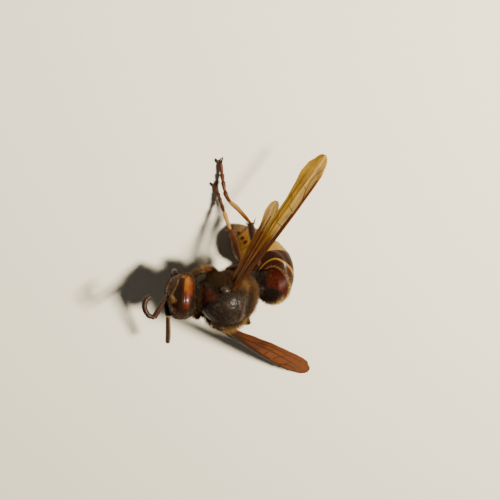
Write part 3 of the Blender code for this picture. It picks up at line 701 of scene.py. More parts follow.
# The left feeler's tints are raised as painted light, and the right feeler's lowered as painted
# shade.
FEELER_LIT_AND_SHADED_TINTS = {"right": (0.1, 0.3), "left": (0.5, 0.85)}
FEELER_RADII = (0.27, 0.3, 0.32, 0.33, 0.33, 0.3)
SCAPE_RADII = (0.2, 0.24, 0.2, 0.29, 0.28, 0.31, 0.33)
PEDICEL_RADII = (0.16, 0.22, 0.24, 0.22, 0.18)
PEDICEL_REACHES = (-0.12, 0.0, 0.12, 0.24, 0.36)
feeler_below = -head_axes.col[2] * 0.35 - head_ahead * 0.7
feeler_chitin = chitin("feeler_chitin", ((0.0, (0.015, 0.006, 0.003)), (0.5, (0.05, 0.018, 0.006)),
                                         (1.0, (0.34, 0.19, 0.075))),
                       blotch=0.2, dust=0.15, shine=0.15, pit_size=16000.0)


def scape_radius(share):
    return read_at(SCAPE_RADII, share) - 0.2 * step(share, 0.97, 1.0)


def feeler_radius(share):
    joint = share * FEELER_JOINTS % 1.0
    narrow = 0.055 * (bell(joint, 0.09) + bell(joint - 1.0, 0.09))
    return read_at(FEELER_RADII, share) - narrow - 0.2 * step(share, 0.955, 1.0)


for side_name, (side, elbow, further) in FEELER_ROUTES.items():
    middle_shade, lower_shade = FEELER_LIT_AND_SHADED_TINTS[side_name]

    def scape_shade(share, offset):
        return 0.9 * (1 - step(share, 0.1, 0.35)) + middle_shade + 0.3 * offset.dot(feeler_below)

    bm = bmesh.new()
    socket = Vector((SOCKET_X, SOCKET_Y * side, SOCKET_Z))
    inner = [socket + Vector((-0.5, 0.0, 0.0)), socket, socket + Vector((0.5, 0.0, 0.1)), elbow]
    bar(bm, smooth_route([on_head(point) for point in inner], 0.1), scape_radius, FEELER_SIDES,
        scape_shade)
    elbow = on_head(elbow)
    lead = (on_head(further[0]) - elbow).normalized()
    bar(bm, [elbow + lead * reach for reach in PEDICEL_REACHES], PEDICEL_RADII, FEELER_SIDES,
        scape_shade)
    bar(bm, smooth_route([elbow + lead * 0.3, *[on_head(point) for point in further]], 0.07),
        feeler_radius, FEELER_SIDES,
        lambda share, offset: middle_shade + lower_shade * offset.dot(feeler_below))
    model_object("feeler_" + side_name, bm, feeler_chitin, "antennae", "scape_" + side_name,
                 "flagellum_" + side_name)


# Gaster: six rings of hard plates that slide into one another like a telescope, hung on a thin
# waist and curled down and to the right. Brown rings in front carry yellow edges, and the yellow
# ones behind have rows of dark spots.

# A centre, a heading, a radius, and how deep the belly is against the back.
GASTER_SECTIONS = (
    ((-2.8, -0.3, 6.85), (-0.8, -0.1, -0.55), 0.42, 1.0),
    ((-4.1, -0.5, 5.95), (-0.8, 0.0, -0.6), 0.5, 1.0),
    ((-4.75, -0.58, 5.5), (-0.72, 0.19, -0.665), 1.9, 0.9),
    ((-5.2, -0.75, 5.0), (-0.56, 0.03, -0.83), 2.55, 0.54),
    ((-5.1, -1.6, 4.1), (-0.14, -0.32, -0.94), 2.85, 0.42),
    ((-4.55, -2.6, 3.5), (0.2, -0.55, -0.81), 3.0, 0.52),
    ((-3.65, -3.3, 2.9), (0.5, -0.65, -0.57), 2.85, 0.66),
    ((-2.75, -3.8, 2.3), (0.66, -0.64, -0.4), 2.5, 0.75),
    ((-2.05, -4.45, 1.88), (0.7, -0.64, -0.32), 2.08, 0.82),
    ((-1.35, -5.15, 1.42), (0.68, -0.67, -0.3), 1.3, 0.95),
    ((-0.85, -5.65, 1.08), (0.68, -0.67, -0.3), 0.3, 1.0),
)
GASTER_TIP = 9.999
GASTER_HOLLOW = Vector((-2.2, -1.8, 5.2))
RING_ENDS = (0.0, 3.75, 6.0, 7.3, 8.1, 8.8, 10.0)
LAST_RING = 6
RING_SIDES = 160
RING_LAP = 0.1
LONG_RING_STEPS = 64
SHORT_RING_STEPS = 36
TUCK_ROWS = ((-0.3, -0.3), (-0.02, -0.14))
LIP_ROWS = ((0.02, -0.03), (-0.06, -0.09), (-0.3, -0.2))
LIP_RISE = 0.03
RING_PINCH = 0.12
BACK_RISE = 0.14
SPOT_WAY = 0.45
SPOT_SIDE = 0.24
OUTER_SPOT_WAYS = {3: 0.8, 4: 0.75, 5: 0.5, 6: 0.25}
OUTER_SPOT_SIDE = 0.74


def between_sections(column, spot):
    """A centre or a heading of the gaster on the smooth line through its sections."""
    index = min(int(spot), len(GASTER_SECTIONS) - 2)
    p1, p2 = (Vector(GASTER_SECTIONS[number][column]) for number in (index, index + 1))
    p0 = Vector(GASTER_SECTIONS[index - 1][column]) if index else p1 * 2 - p2
    beyond = index + 2 < len(GASTER_SECTIONS)
    p3 = Vector(GASTER_SECTIONS[index + 2][column]) if beyond else p2 * 2 - p1
    return curve(p0, p1, p2, p3, spot - index)


def gaster_point(spot, angle, grow):
    """A point of the gaster's skin, angle 0 being the middle of the back, in radians."""
    spot = min(max(spot, 0.0), GASTER_TIP)
    centre = between_sections(0, spot)
    heading = between_sections(1, spot).normalized()
    index = int(spot)
    before, after = GASTER_SECTIONS[index], GASTER_SECTIONS[index + 1]
    radius, belly = (before[column] + (after[column] - before[column]) * (spot - index)
                     for column in (2, 3))
    away = centre - GASTER_HOLLOW
    back = (away - heading * away.dot(heading)).normalized()
    aside = heading.cross(back)
    depth = math.cos(angle) * (1.0 if math.cos(angle) > 0 else belly)
    point = centre + (back * depth + aside * math.sin(angle)) * (radius + grow)
    point.z = max(point.z, 0.0)
    return point


def first_ring_tint(spot, side, degrees):
    """The round front face of the first ring, with its red patch, then its bands."""
    disc = 1 - step(spot, 2.66, 2.8)
    inner = 1.3 + 1.35 * step(degrees, -70, 0) + 0.4 * step(-degrees, 95, 140)
    red = (step(degrees, -175, -150) * (1 - step(degrees, -12, 8))
           * step(spot, inner - 0.15, inner + 0.2))
    edge = step(spot, 3.63, 3.66)
    band = 0.7 * bell(spot - 2.88, 0.16)
    flank = 0.4 * step(side, 0.5, 0.62) * step(spot, 2.9, 3.1)
    middle = max(0.22, band, flank)
    return (0.02 + 0.48 * red) * disc + middle * (1 - disc) * (1 - edge) + 0.95 * edge


def gaster_tint(number, spot, share, angle, point):
    """0 for black, 0.22 for brown, 0.5 for red and 1 for yellow, at a share of a ring's length."""
    degrees = math.degrees(math.remainder(angle, math.tau))
    side = abs(degrees) / 180
    wobble = noise.noise(point * 1.1) * 0.05
    if number == 1:
        return clamp(first_ring_tint(spot, side, degrees) + wobble)
    if number == 2:
        edge = (0.57 + 0.1 * bell(side, 0.05) - 0.05 * bell(side - 0.16, 0.07)
                - 0.05 * bell(side - 0.66, 0.08))
        return clamp(0.16 + 0.8 * step(share, edge - 0.02, edge + 0.02) + wobble)
    base = 1 - step(share, 0.12, 0.2)
    tooth = 1 - step(share, 0.5 - side * 3.0, 0.56 - side * 3.0)
    spots = 1 - step(math.hypot((side - SPOT_SIDE) / 0.05, (share - SPOT_WAY) / 0.18), 0.8, 1.1)
    outer = 1 - step(math.hypot((side - OUTER_SPOT_SIDE) / 0.048,
                                (share - OUTER_SPOT_WAYS[number]) / 0.2), 0.75, 1.1)
    marked = number < LAST_RING
    # Rings after the third get a darker yellow, which is painted shade from the wing above them.
    top = 0.9 if number == 3 else 0.78
    return clamp(top - (top - 0.08) * max(base, tooth * marked, spots * marked, outer) + wobble)


gaster_chitin = chitin("gaster_chitin", ((0.0, BLACK), (0.22, (0.024, 0.008, 0.004)),
                                         (0.5, (0.034, 0.0028, 0.0014)),
                                         (0.74, (0.11, 0.045, 0.008)), (1.0, (0.22, 0.12, 0.014))),
                       blotch=0.18, dust=0.08, shine=0.07, coat=0.05, pit_size=12000.0, ragged=0.04)
gaster_rings = []
for number, (start, end) in enumerate(zip(RING_ENDS, RING_ENDS[1:]), 1):
    first, last = number == 1, number == LAST_RING
    outer_end = end if last else end + RING_LAP
    rows = [] if first else [(start + shift, grow, 0.0) for shift, grow in TUCK_ROWS]
    steps = LONG_RING_STEPS if number < 3 else SHORT_RING_STEPS
    for row in range(steps + 1):
        share = row / steps
        spot = start + (outer_end - start) * share
        pinch = 0.0 if first else -RING_PINCH * (1 - step(share, 0.0, 0.25))
        rise = BACK_RISE * bell(spot - 4.2, 1.0)
        lip = 0.0 if last else LIP_RISE * step(share, 0.8, 1.0)
        rows.append((spot, pinch + rise + lip, share))
    if not last:
        rows += [(outer_end + shift, grow, 1.0) for shift, grow in LIP_ROWS]
    bm = bmesh.new()
    marks, angles, turns, ways = (bm.verts.layers.float.new(name)
                                  for name in ("tint", "angle", "turn", "way"))
    ring, edges = first_ring(bm, RING_SIDES, Matrix(), False)
    for vert in ring:
        vert[angles] = math.atan2(vert.co.y, vert.co.x)
        vert[turns] = vert[angles] / math.tau + 0.5
    for row, (spot, grow, share) in enumerate(rows):
        if row:
            ring, edges = next_ring(bm, edges)
        for vert in ring:
            point = gaster_point(spot, vert[angles], grow)
            vert[marks] = gaster_tint(number, spot, share, vert[angles], point)
            vert[ways] = spot / RING_ENDS[-1]
            vert.co = place(point)
    bmesh.ops.holes_fill(bm, edges=[edge for edge in bm.edges if edge.is_boundary], sides=0)
    bmesh.ops.recalc_face_normals(bm, faces=bm.faces)
    unwrap(bm, bm.faces, turns, ways, (0.0, 0.0), 1.0)
    gaster_rings.append(model_object("gaster_ring_%d" % number, bm, gaster_chitin,
                                     "gaster_cuticle", "gaster_%d" % number))


# Wings: thin amber skin stretched on hollow veins, which on the left is painted brown and opaque as
# painted shade. The forewing is folded along its length, so its hind third lies under the rest,
# and a thick dark vein stiffens its front edge.

# A distance from the root, and the front and the rear edge there.
FOREWING_STATIONS = {
    "right": ((0.0, -0.35, 0.35), (2.5, -0.4, 0.7), (5.5, -0.57, 1.2), (9.0, -0.62, 1.75),
              (12.0, -0.6, 1.9), (14.0, -0.52, 2.25), (15.6, -0.48, 2.65), (16.8, -0.4, 2.55),
              (17.8, -0.15, 2.1)),
    "left": ((0.0, -0.35, 0.35), (2.5, -0.4, 0.8), (5.5, -0.57, 1.35), (9.0, -0.62, 1.9),
             (12.0, -0.6, 2.2), (14.0, -0.5, 2.4), (15.6, -0.35, 2.5), (16.8, -0.2, 2.45),
             (17.8, 0.0, 2.1)),
}
FOREWING_ROUND_FROM = 17.3
FOREWING_LENGTH = {"right": 18.9, "left": 19.3}
HINDWING_STATIONS = ((0.0, 0.75, 1.15), (3.3, 1.2, 1.9), (5.2, 1.52, 2.35), (7.5, 1.9, 2.75),
                     (9.4, 2.12, 3.55), (10.4, 2.35, 3.75))
HINDWING_ROUND_FROM = 9.0
HINDWING_LENGTH = 11.1
HINDWING_OVERLAP = 0.7
HINDWING_SINK = 0.14
FOLD_SHARE = 0.5
WING_COLUMNS = 110
WING_ROWS = 26
WING_THICKNESS = 0.03
# The root of each pair, the ways along and across it, and the shift and the turn of its hindwing.
WING_PLACES = {
    "right": ((-0.31, -2.3, 9.6), (-0.479, -0.877, -0.038), (0.39, -0.17, -0.91),
              (0.0, 0.0, 0.0), 0.0),
    "left": ((0.05, 2.74, 9.74), (-0.59, 0.67, -0.44), (-0.68, -0.73, 0.06),
             (0.0, -1.45, -1.0), -8.0),
}
# The line of each vein, and its thickness at either end.
FOREWING_VEINS = (
    (((0.1, -0.1), (2.5, -0.22), (5.5, -0.38), (9.0, -0.44), (12.0, -0.4), (14.0, -0.36),
      (16.4, -0.28)), 0.19, 0.07),
    (((0.3, 0.0), (2.5, -0.04), (5.5, -0.18), (9.0, -0.28), (11.6, -0.28)), 0.13, 0.09),
    (((0.3, 0.1), (3.0, 0.2), (6.0, 0.45), (9.6, 0.8), (13.0, 0.95), (15.0, 0.95), (16.8, 0.95)),
     0.1, 0.04),
    (((2.8, 0.2), (5.0, 0.42), (7.0, 0.85), (9.0, 1.3), (11.5, 1.5), (13.5, 1.6), (16.4, 1.8)),
     0.07, 0.035),
    (((0.4, 0.28), (3.0, 0.55), (6.0, 1.08), (9.0, 1.62), (12.0, 1.78), (14.2, 2.1)), 0.06, 0.03),
    (((13.2, -0.45), (14.3, 0.1), (15.6, 0.45), (16.8, 0.35), (17.7, 0.05)), 0.06, 0.045),
    (((9.7, -0.27), (9.6, 0.8)), 0.05, 0.05),
    (((11.8, -0.05), (12.0, 0.9)), 0.05, 0.05),
    (((14.6, 0.2), (14.8, 0.93)), 0.05, 0.045),
    (((9.6, 0.8), (10.3, 1.4)), 0.05, 0.045),
    (((12.6, 0.95), (13.0, 1.56)), 0.05, 0.045),
    (((6.6, 0.5), (7.0, 0.86)), 0.05, 0.045),
)
HINDWING_VEINS = (
    (((0.0, 0.85), (3.3, 1.3), (5.2, 1.61), (7.5, 1.98), (9.4, 2.22)), 0.09, 0.05),
    (((0.3, 0.95), (4.0, 1.62), (7.0, 2.3), (9.8, 2.95)), 0.06, 0.03),
    (((2.6, 1.4), (4.6, 1.9), (6.6, 2.4)), 0.045, 0.03),
    (((5.2, 1.63), (5.6, 2.0)), 0.04, 0.04),
)


def wing_edges(stations, along):
    """The front and the rear edge of a wing at a distance from its root."""
    for before, after in zip(stations, stations[1:]):
        if along <= after[0]:
            share = (step(along, before[0], after[0]) * 0.5
                     + (along - before[0]) / (after[0] - before[0]) * 0.5)
            return [near + (far - near) * share for near, far in zip(before[1:], after[1:])]
    return stations[-1][1:]


def wing_level(along, share):
    """The gentle waves of the wing skin across its veins, and the arch from edge to edge."""
    waves = 0.035 * math.sin(share * 15.0) * step(along, 1.0, 5.0)
    return 0.06 * math.sin(math.pi * share) + waves


def wing_skin(stations, length, round_from, matrix, fold):
    """A folded sheet: a grid laid over the wing, whose last rows turn under the rear edge.

    A wing without a fold is a hindwing, whose front edge slips under the forewing.
    """
    bm = bmesh.new()
    marks = bm.verts.layers.float.new("tint")
    overlap, sink = (0.0, 0.0) if fold else (HINDWING_OVERLAP, HINDWING_SINK)
    bmesh.ops.create_grid(bm, x_segments=WING_COLUMNS, y_segments=WING_ROWS, size=0.5)
    for vert in bm.verts:
        along = length * (vert.co.x + 0.5)
        across_share = (vert.co.y + 0.5) * (1.0 + fold)
        front, rear = wing_edges(stations, along)
        front -= overlap * step(along, 0.3, 2.5)
        middle = (front + rear) / 2
        rounding = 1.0
        if along > round_from:
            past = (along - round_from) / (length - round_from)
            rounding = math.sqrt(max(1.0 - past ** 2, 0.0))
        front = middle + (front - middle) * rounding
        rear = middle + (rear - middle) * rounding
        under = max(across_share - 1.0, 0.0)
        share = across_share - 2.0 * under
        level = wing_level(along, share) - 0.1 * step(under, 0.0, 0.06) - sink
        amber = 0.1 + 0.3 * step(along, 0.0, 5.5) + 0.6 * step(along, 6.8, 9.6)
        front_shade = 0.75 - 0.45 * step(along / length, 0.7, 1.0)
        vert[marks] = max(amber - front_shade * bell(share, 0.15), 0.0)
        vert.co = matrix @ (Vector((along, front + (rear - front) * share, level)) * MM)
    return bm


def wing_vein(bm, line, thick, thin, stations, matrix, sink):
    """A tapering vein on the skin, darker where it is thicker."""
    lifted = []
    for along, side, _ in smooth_route([(along, side, 0.0) for along, side in line], 0.25):
        front, rear = wing_edges(stations, along)
        level = wing_level(along, (side - front) / (rear - front)) - sink
        lifted.append((matrix @ (Vector((along, side, level)) * MM) - ORIGIN) / MM)
    bar(bm, lifted, (thick, thin), 8, (1.0 - thick * 4,))


def wing_membrane(name, root_colour, middle_colour, tip_colour, tip_opacity):
    """Wing skin that is darker at its root and along its front edge, finely wrinkled."""
    finish, tree, shader = new_finish(name)
    tint = skin_tint(tree)
    where = effect(tree, "TexCoord", "Object", {})
    mottle = effect(tree, "TexNoise", "Fac", {"Vector": where, "Scale": 700.0, "Detail": 5.0})
    patch = effect(tree, "MapRange", "Result", {"Value": mottle, "From Min": 0.5, "From Max": 0.8})
    colours = colour_ramp(tree, tint, ((0.0, root_colour), (0.4, middle_colour), (1.0, tip_colour)))
    wrinkles = effect(tree, "TexNoise", "Fac", {"Vector": where, "Scale": 3500.0})
    feed(shader, {
        "Base Color": effect(tree, "Mix", "Result",
                             {"Factor": patch, "A": colours, "B": (0.55, 0.42, 0.3, 1.0)},
                             data_type="RGBA", blend_type="MULTIPLY"),
        "Alpha": effect(tree, "MapRange", "Result",
                        {"Value": tint, "To Min": min(tip_opacity + 0.35, 1.0),
                         "To Max": tip_opacity}),
        "Normal": effect(tree, "Bump", "Normal", {"Height": wrinkles, "Strength": 0.35,
                                                  "Distance": WING_THICKNESS * MM}),
        "Roughness": 0.45, "Specular IOR Level": 0.12,
    })
    return finish


vein_finishes = {
    "right": chitin("amber_veins", ((0.0, (0.018, 0.005, 0.002)), (0.5, (0.08, 0.02, 0.003)),
                                    (1.0, (0.4, 0.19, 0.015))), blotch=0.15, dust=0.0, shine=0.15),
    # The left veins are the amber veins darkened as painted shade.
    "left": chitin("amber_veins_in_painted_shade", ((0.0, (0.01, 0.003, 0.001)), (0.5, (0.018, 0.005, 0.001)),
                                   (1.0, (0.03, 0.008, 0.002))), blotch=0.15, dust=0.0, shine=0.12),
}
membranes = {
    "right": wing_membrane("amber_skin", (0.04, 0.008, 0.002), (0.22, 0.06, 0.003),
                           (0.76, 0.44, 0.03), 0.78),
    # The left skin is the amber skin painted brown and opaque as painted shade.
    "left": wing_membrane("amber_skin_in_painted_shade", (0.018, 0.005, 0.002), (0.07, 0.015, 0.002),
                          (0.1, 0.026, 0.004), 1.0),
}
for side_name, (root, along, across_way, tuck, swing) in WING_PLACES.items():
    x_axis = Vector(along).normalized()
    z_axis = x_axis.cross(Vector(across_way)).normalized()
    fore_matrix = Matrix((x_axis, z_axis.cross(x_axis), z_axis)).transposed().to_4x4()
    fore_matrix.translation = place(root)
    hind_matrix = (fore_matrix @ Matrix.Translation(Vector(tuck) * MM)
                   @ Matrix.Rotation(math.radians(swing), 4, "Z"))
    for wing, stations, length, round_from, matrix, fold, veins, sink in (
        ("forewing", FOREWING_STATIONS[side_name], FOREWING_LENGTH[side_name], FOREWING_ROUND_FROM,
         fore_matrix, FOLD_SHARE, FOREWING_VEINS, 0.0),
        ("hindwing", HINDWING_STATIONS, HINDWING_LENGTH, HINDWING_ROUND_FROM,
         hind_matrix, 0.0, HINDWING_VEINS, HINDWING_SINK),
    ):
        skin = model_object("%s_skin_%s" % (wing, side_name),
                            wing_skin(stations, length, round_from, matrix, fold),
                            membranes[side_name], "wings", "%s_%s" % (wing, side_name))
        thickness = skin.modifiers.new("skin_thickness", "SOLIDIFY")
        thickness.thickness = WING_THICKNESS * MM
        thickness.offset = 0.0
        bm = bmesh.new()
        for line, thick, thin in veins:
            wing_vein(bm, line, thick, thin, stations, matrix, sink)
        model_object("%s_veins_%s" % (wing, side_name), bm, vein_finishes[side_name], "wings")


# Wing scales: a small smooth cap of the thorax's own chitin over the root of each forewing, held
# to the thorax by its front edge.

TEGULA_PLACE = Vector((0.5, 2.55, 9.9))
TEGULA_HALF = Vector((0.62, 0.45, 0.5))
for side_name, side in SIDES:
    bm = shaped_ball(lambda way: Vector((TEGULA_PLACE.x + TEGULA_HALF.x * way.x,
                                         side * TEGULA_PLACE.y + TEGULA_HALF.y * way.y,
                                         TEGULA_PLACE.z + TEGULA_HALF.z * way.z)), 40, 24,
                     lambda point: 0.2 + 0.2 * noise.noise(point * 2.0))
    model_object("wing_scale_" + side_name, bm, thorax_chitin, "thorax_cuticle",
                 "tegula_" + side_name)


# Legs: six jointed legs of hollow chitin, each with a stout hip, a long thigh and shin, spurs at
# the shin's end, a foot of five joints, two hooked claws and a pad between them.

# The root, the hip's end, the knee, the ankle, the bend of the foot and the toe.
LEG_ROUTES = {
    "front_right": ((1.9, -0.8, 6.1), (1.45, -1.8, 4.8), (2.9, -2.9, 6.0), (3.75, 0.1, 3.0),
                    (4.3, 1.6, 0.9), (5.1, 2.5, 0.2)),
    "mid_right": ((0.0, -0.9, 6.0), (-0.2, -2.05, 4.8), (-1.48, -4.4, 7.2), (-0.05, -6.95, 4.0),
                  (0.95, -8.75, 1.5), (1.77, -10.6, 0.2)),
    "hind_right": ((-1.0, -0.8, 6.3), (-1.9, -2.3, 5.0), (-3.2, -4.95, 7.9), (-2.2, -8.3, 4.5),
                   (0.58, -10.15, 1.6), (1.5, -13.6, 0.2)),
    "front_left": ((1.9, 0.8, 6.1), (1.9, 2.0, 4.6), (3.0, 3.9, 6.2), (3.6, 4.9, 2.9),
                   (4.0, 5.5, 0.8), (5.1, 5.4, 0.2)),
    "mid_left": ((0.0, 0.9, 6.0), (0.0, 2.3, 4.5), (-0.4, 4.2, 6.9), (0.5, 5.9, 3.3),
                 (0.9, 7.2, 0.8), (2.7, 6.9, 0.2)),
    "hind_left": ((-1.0, 0.8, 6.3), (-1.9, 2.3, 4.9), (-3.2, 4.6, 5.8), (-2.7, 6.2, 3.0),
                  (-2.4, 7.6, 0.8), (-0.3, 8.5, 0.2)),
}
LEG_SPACING = 0.12
COXA_RADII = (0.75, 0.72, 0.55, 0.4)
COXA_TINT = (0.18,)
TROCHANTER_RADII = (0.2, 0.36, 0.38, 0.36, 0.22)
TROCHANTER_REACHES = (-0.05, 0.0, 0.05, 0.1, 0.15)
TROCHANTER_TINT = (0.42,)
FEMUR_RADII = (0.27, 0.4, 0.46, 0.43, 0.34, 0.29, 0.2)
TIBIA_RADII = (0.19, 0.25, 0.28, 0.31, 0.35, 0.35, 0.26)
SPUR_RADII = (0.1, 0.085, 0.015)
SPUR_LENGTHS = {1: 0.95, -1: 0.7}
SPUR_TINT = (0.6,)
TARSUS_RADIUS = 0.22
TARSUS_PROFILE = (0.55, 0.8, 0.84, 0.9, 1.0, 1.06, 0.75)
TARSUS_SHARES = (0.42, 0.18, 0.14, 0.1, 0.16)
TARSUS_RINGS = 14
HEEL_GIRTH = 1.08
TOE_POINTS = 30
CLAW_LENGTH = 0.75
CLAW_RADII = (0.14, 0.12, 0.09, 0.02)
PAD_REACHES = (0.0, 0.1, 0.2, 0.3)
PAD_RADII = (0.12, 0.17, 0.17, 0.08)
PAD_TINT = (0.3,)
LEG_GIRTH = {"front": 0.95, "mid": 1.0, "hind": 1.15}
THIGH_TINTS = {"front": (0.38, 0.5), "mid": (0.3, 0.45), "hind": (0.28, 0.35)}
SHIN_TINTS = {"front": (0.52, 0.58), "mid": (0.46, 0.56), "hind": (0.36, 0.3)}
HEEL_TINTS = {"front": (0.8, 0.85), "mid": (0.9, 0.97), "hind": (0.72, 1.0)}
FOOT_TINTS = {"front": 0.72, "mid": 0.56, "hind": 0.6}
FOOT_FADE = 0.12
leg_pieces = []

for leg_name, route in LEG_ROUTES.items():
    pair = leg_name.split("_")[0]
    girth = LEG_GIRTH[pair]
    root, trochanter, knee, ankle, bend, toe = (Vector(point) for point in route)
    bm = bmesh.new()
    bar(bm, straight_route(root, trochanter, LEG_SPACING), COXA_RADII, 28, COXA_TINT, girth=girth)
    bar(bm, [trochanter.lerp(knee, reach) for reach in TROCHANTER_REACHES], TROCHANTER_RADII, 20,
        TROCHANTER_TINT, girth=girth, cell=1)
    bar(bm, straight_route(trochanter, knee, LEG_SPACING), FEMUR_RADII, 24, THIGH_TINTS[pair],
        girth=girth, cell=2)
    bar(bm, straight_route(knee, ankle, LEG_SPACING), TIBIA_RADII, 24, SHIN_TINTS[pair],
        girth=girth, cell=3)
    shin = (ankle - knee).normalized()
    aside = shin.cross(Vector((0.0, 0.0, 1.0))).normalized()
    for number, side in enumerate((1,) if pair == "front" else (1, -1)):
        heel = ankle - shin * 0.3 + aside * side * 0.2
        tip = heel + (shin * 0.8 + aside * side * 0.5).normalized() * SPUR_LENGTHS[side]
        bar(bm, straight_route(heel, tip, 0.1, lift=0.04), SPUR_RADII, 10, SPUR_TINT,
            cell=4 + number)
    leg_pieces.append(model_object("leg_" + leg_name, bm, limb_chitin, "legs", "coxa_" + leg_name,
                                   "femur_" + leg_name, "tibia_" + leg_name))

    bm = bmesh.new()
    line = smooth_route([ankle, ankle.lerp(bend, 0.5), bend, toe], 0.02)
    reached = 0.0
    for number, share in enumerate(TARSUS_SHARES):
        start = int((len(line) - 1) * reached)
        end = int((len(line) - 1) * min(reached + share * 1.02, 1.0))
        reached += share
        points = [line[start + round((end - start) * part / TARSUS_RINGS)]
                  for part in range(TARSUS_RINGS + 1)]
        thick = TARSUS_RADIUS * girth * (1.0 if number else HEEL_GIRTH)
        shades = (FOOT_TINTS[pair], FOOT_TINTS[pair] - FOOT_FADE) if number else HEEL_TINTS[pair]
        bar(bm, points, TARSUS_PROFILE, 18, shades, girth=thick, cell=number)
    ahead = (line[-1] - line[-TOE_POINTS]).normalized()
    ahead.z = 0.0
    ahead.normalize()
    aside = Vector((-ahead.y, ahead.x, 0.0))
    for number, side in enumerate((1, -1)):
        out = (ahead + aside * side * 0.75).normalized()
        base = toe - ahead * 0.12 + aside * side * 0.06
        high = toe + out * CLAW_LENGTH * 0.55 + Vector((0.0, 0.0, 0.14))
        tip = toe + out * CLAW_LENGTH
        tip.z = 0.06
        bar(bm, smooth_route([base, high, tip], 0.06), CLAW_RADII, 12,
            lambda share, offset: 0.5 - 0.45 * share, cell=6 + number)
    bar(bm, [toe + ahead * reach for reach in PAD_REACHES], PAD_RADII, 14, PAD_TINT, cell=8)
    for vert in bm.verts:
        vert.co.z = max(vert.co.z, 0.0)
    leg_pieces.append(model_object("foot_" + leg_name, bm, limb_chitin, "feet",
                                   "tarsus_" + leg_name))


# Neck: a short dark stalk of soft skin and rings, which runs from inside the collar into the back
# of the head and lets the head turn. Its grey tone is a painted sheen.

NECK_ROUTE = ((2.5, 0.1, 7.2), (3.2, 0.18, 7.15), (4.0, 0.3, 7.1))
NECK_RADII = (1.5, 1.4, 1.25, 1.3, 1.4)
# The grey top stop and the middle tint are a painted sheen on the dark neck skin.
neck_skin_with_painted_sheen = chitin("neck_skin_with_painted_sheen", ((0.0, BLACK), (1.0, (0.16, 0.13, 0.11))), blotch=0.3, dust=0.1,
                   shine=0.5, coat=0.12, bump=0.1)
bm = bmesh.new()
bar(bm, smooth_route(NECK_ROUTE, 0.1),
    lambda share: read_at(NECK_RADII, share) + 0.04 * math.sin(share * 60), 40, (0.5,))
model_object("neck", bm, neck_skin_with_painted_sheen, "thorax_cuticle")


# Coat: fine upright hairs on the thorax and round the waist end of the gaster, and shorter ones on
# the head, the legs and the rest of the gaster. Each hair is a thin bent spike rooted in the skin,
# leaning towards the tail or the toes, and it takes its shade from the skin that it grows on.

def read_rows(items, name, width):
    """What each item of a mesh holds under a name, as the rows of an array."""
    values = np.empty(len(items) * width)
    items.foreach_get(name, values)
    return values.reshape(-1, width)


def unit(arrows):
    return arrows / np.maximum(np.linalg.norm(arrows, axis=1, keepdims=True), 1e-12)


def skin_samples(piece, count, chance):
    """Roots spread evenly over the skin of a piece, with what the hairs take from it there.

    The faces are cut into triangles, which are put in order by the numbers of their corners, so
    each run plants the same hairs.
    """
    data = piece.data
    cuts = []
    for polygon in data.polygons:
        around = list(zip(polygon.vertices, polygon.loop_indices))
        lowest = around.index(min(around))
        around = around[lowest:] + around[:lowest]
        cuts += [(around[0], second, third) for second, third in zip(around[1:], around[2:])]
    cuts = np.array(sorted(cuts, key=lambda cut: [corner[0] for corner in cut]))
    corners, loops = cuts[:, :, 0], cuts[:, :, 1]
    spots = read_rows(data.vertices, "co", 3)
    shades = read_rows(data.attributes["tint"].data, "value", 1)[:, 0]
    spread = read_rows(data.uv_layers["OFBake"].data, "uv", 2)
    side_a = spots[corners[:, 1]] - spots[corners[:, 0]]
    side_b = spots[corners[:, 2]] - spots[corners[:, 0]]
    normals = np.cross(side_a, side_b)
    areas = np.linalg.norm(normals, axis=1)
    chosen = chance.choice(len(areas), count, p=areas / areas.sum())
    first, second = chance.random((2, count))
    over = first + second > 1.0
    first[over], second[over] = 1.0 - first[over], 1.0 - second[over]
    shares = np.stack((1.0 - first - second, first, second), axis=1)
    picked = corners[chosen]
    roots = np.einsum("ij,ijk->ik", shares, spots[picked])
    tints = np.einsum("ij,ij->i", shares, shades[picked])
    flat = spread[loops[chosen]]
    seats = np.einsum("ij,ijk->ik", shares, flat)
    step_a, step_b = flat[:, 1] - flat[:, 0], flat[:, 2] - flat[:, 0]
    turned = step_a[:, 0] * step_b[:, 1] - step_b[:, 0] * step_a[:, 1]
    along = side_b[chosen] * step_a[:, :1] - side_a[chosen] * step_b[:, :1]
    along *= np.sign(turned)[:, None]
    return roots, unit(normals[chosen]), unit(along), seats, tints


HAIR_WIDTH = 0.036
HAIR_WIDTHS = (0.7, 1.2)
HAIR_LENGTHS = (0.65, 1.25)
HAIR_STRAY = 0.2
HAIR_SHADE_STRAY = 0.06
HAIR_PATCH = 0.0015
HAIR_ROOT_DEPTH = 0.04
LOWEST_ROOT = 0.15
LOWEST_TIP = 0.02
HAIR_POINTS = 7
HAIR_FACES = ((0, 1, 4), (0, 4, 3), (1, 2, 5), (1, 5, 4), (2, 0, 3), (2, 3, 5), (3, 4, 6),
              (4, 5, 6), (5, 3, 6), (0, 2, 1))


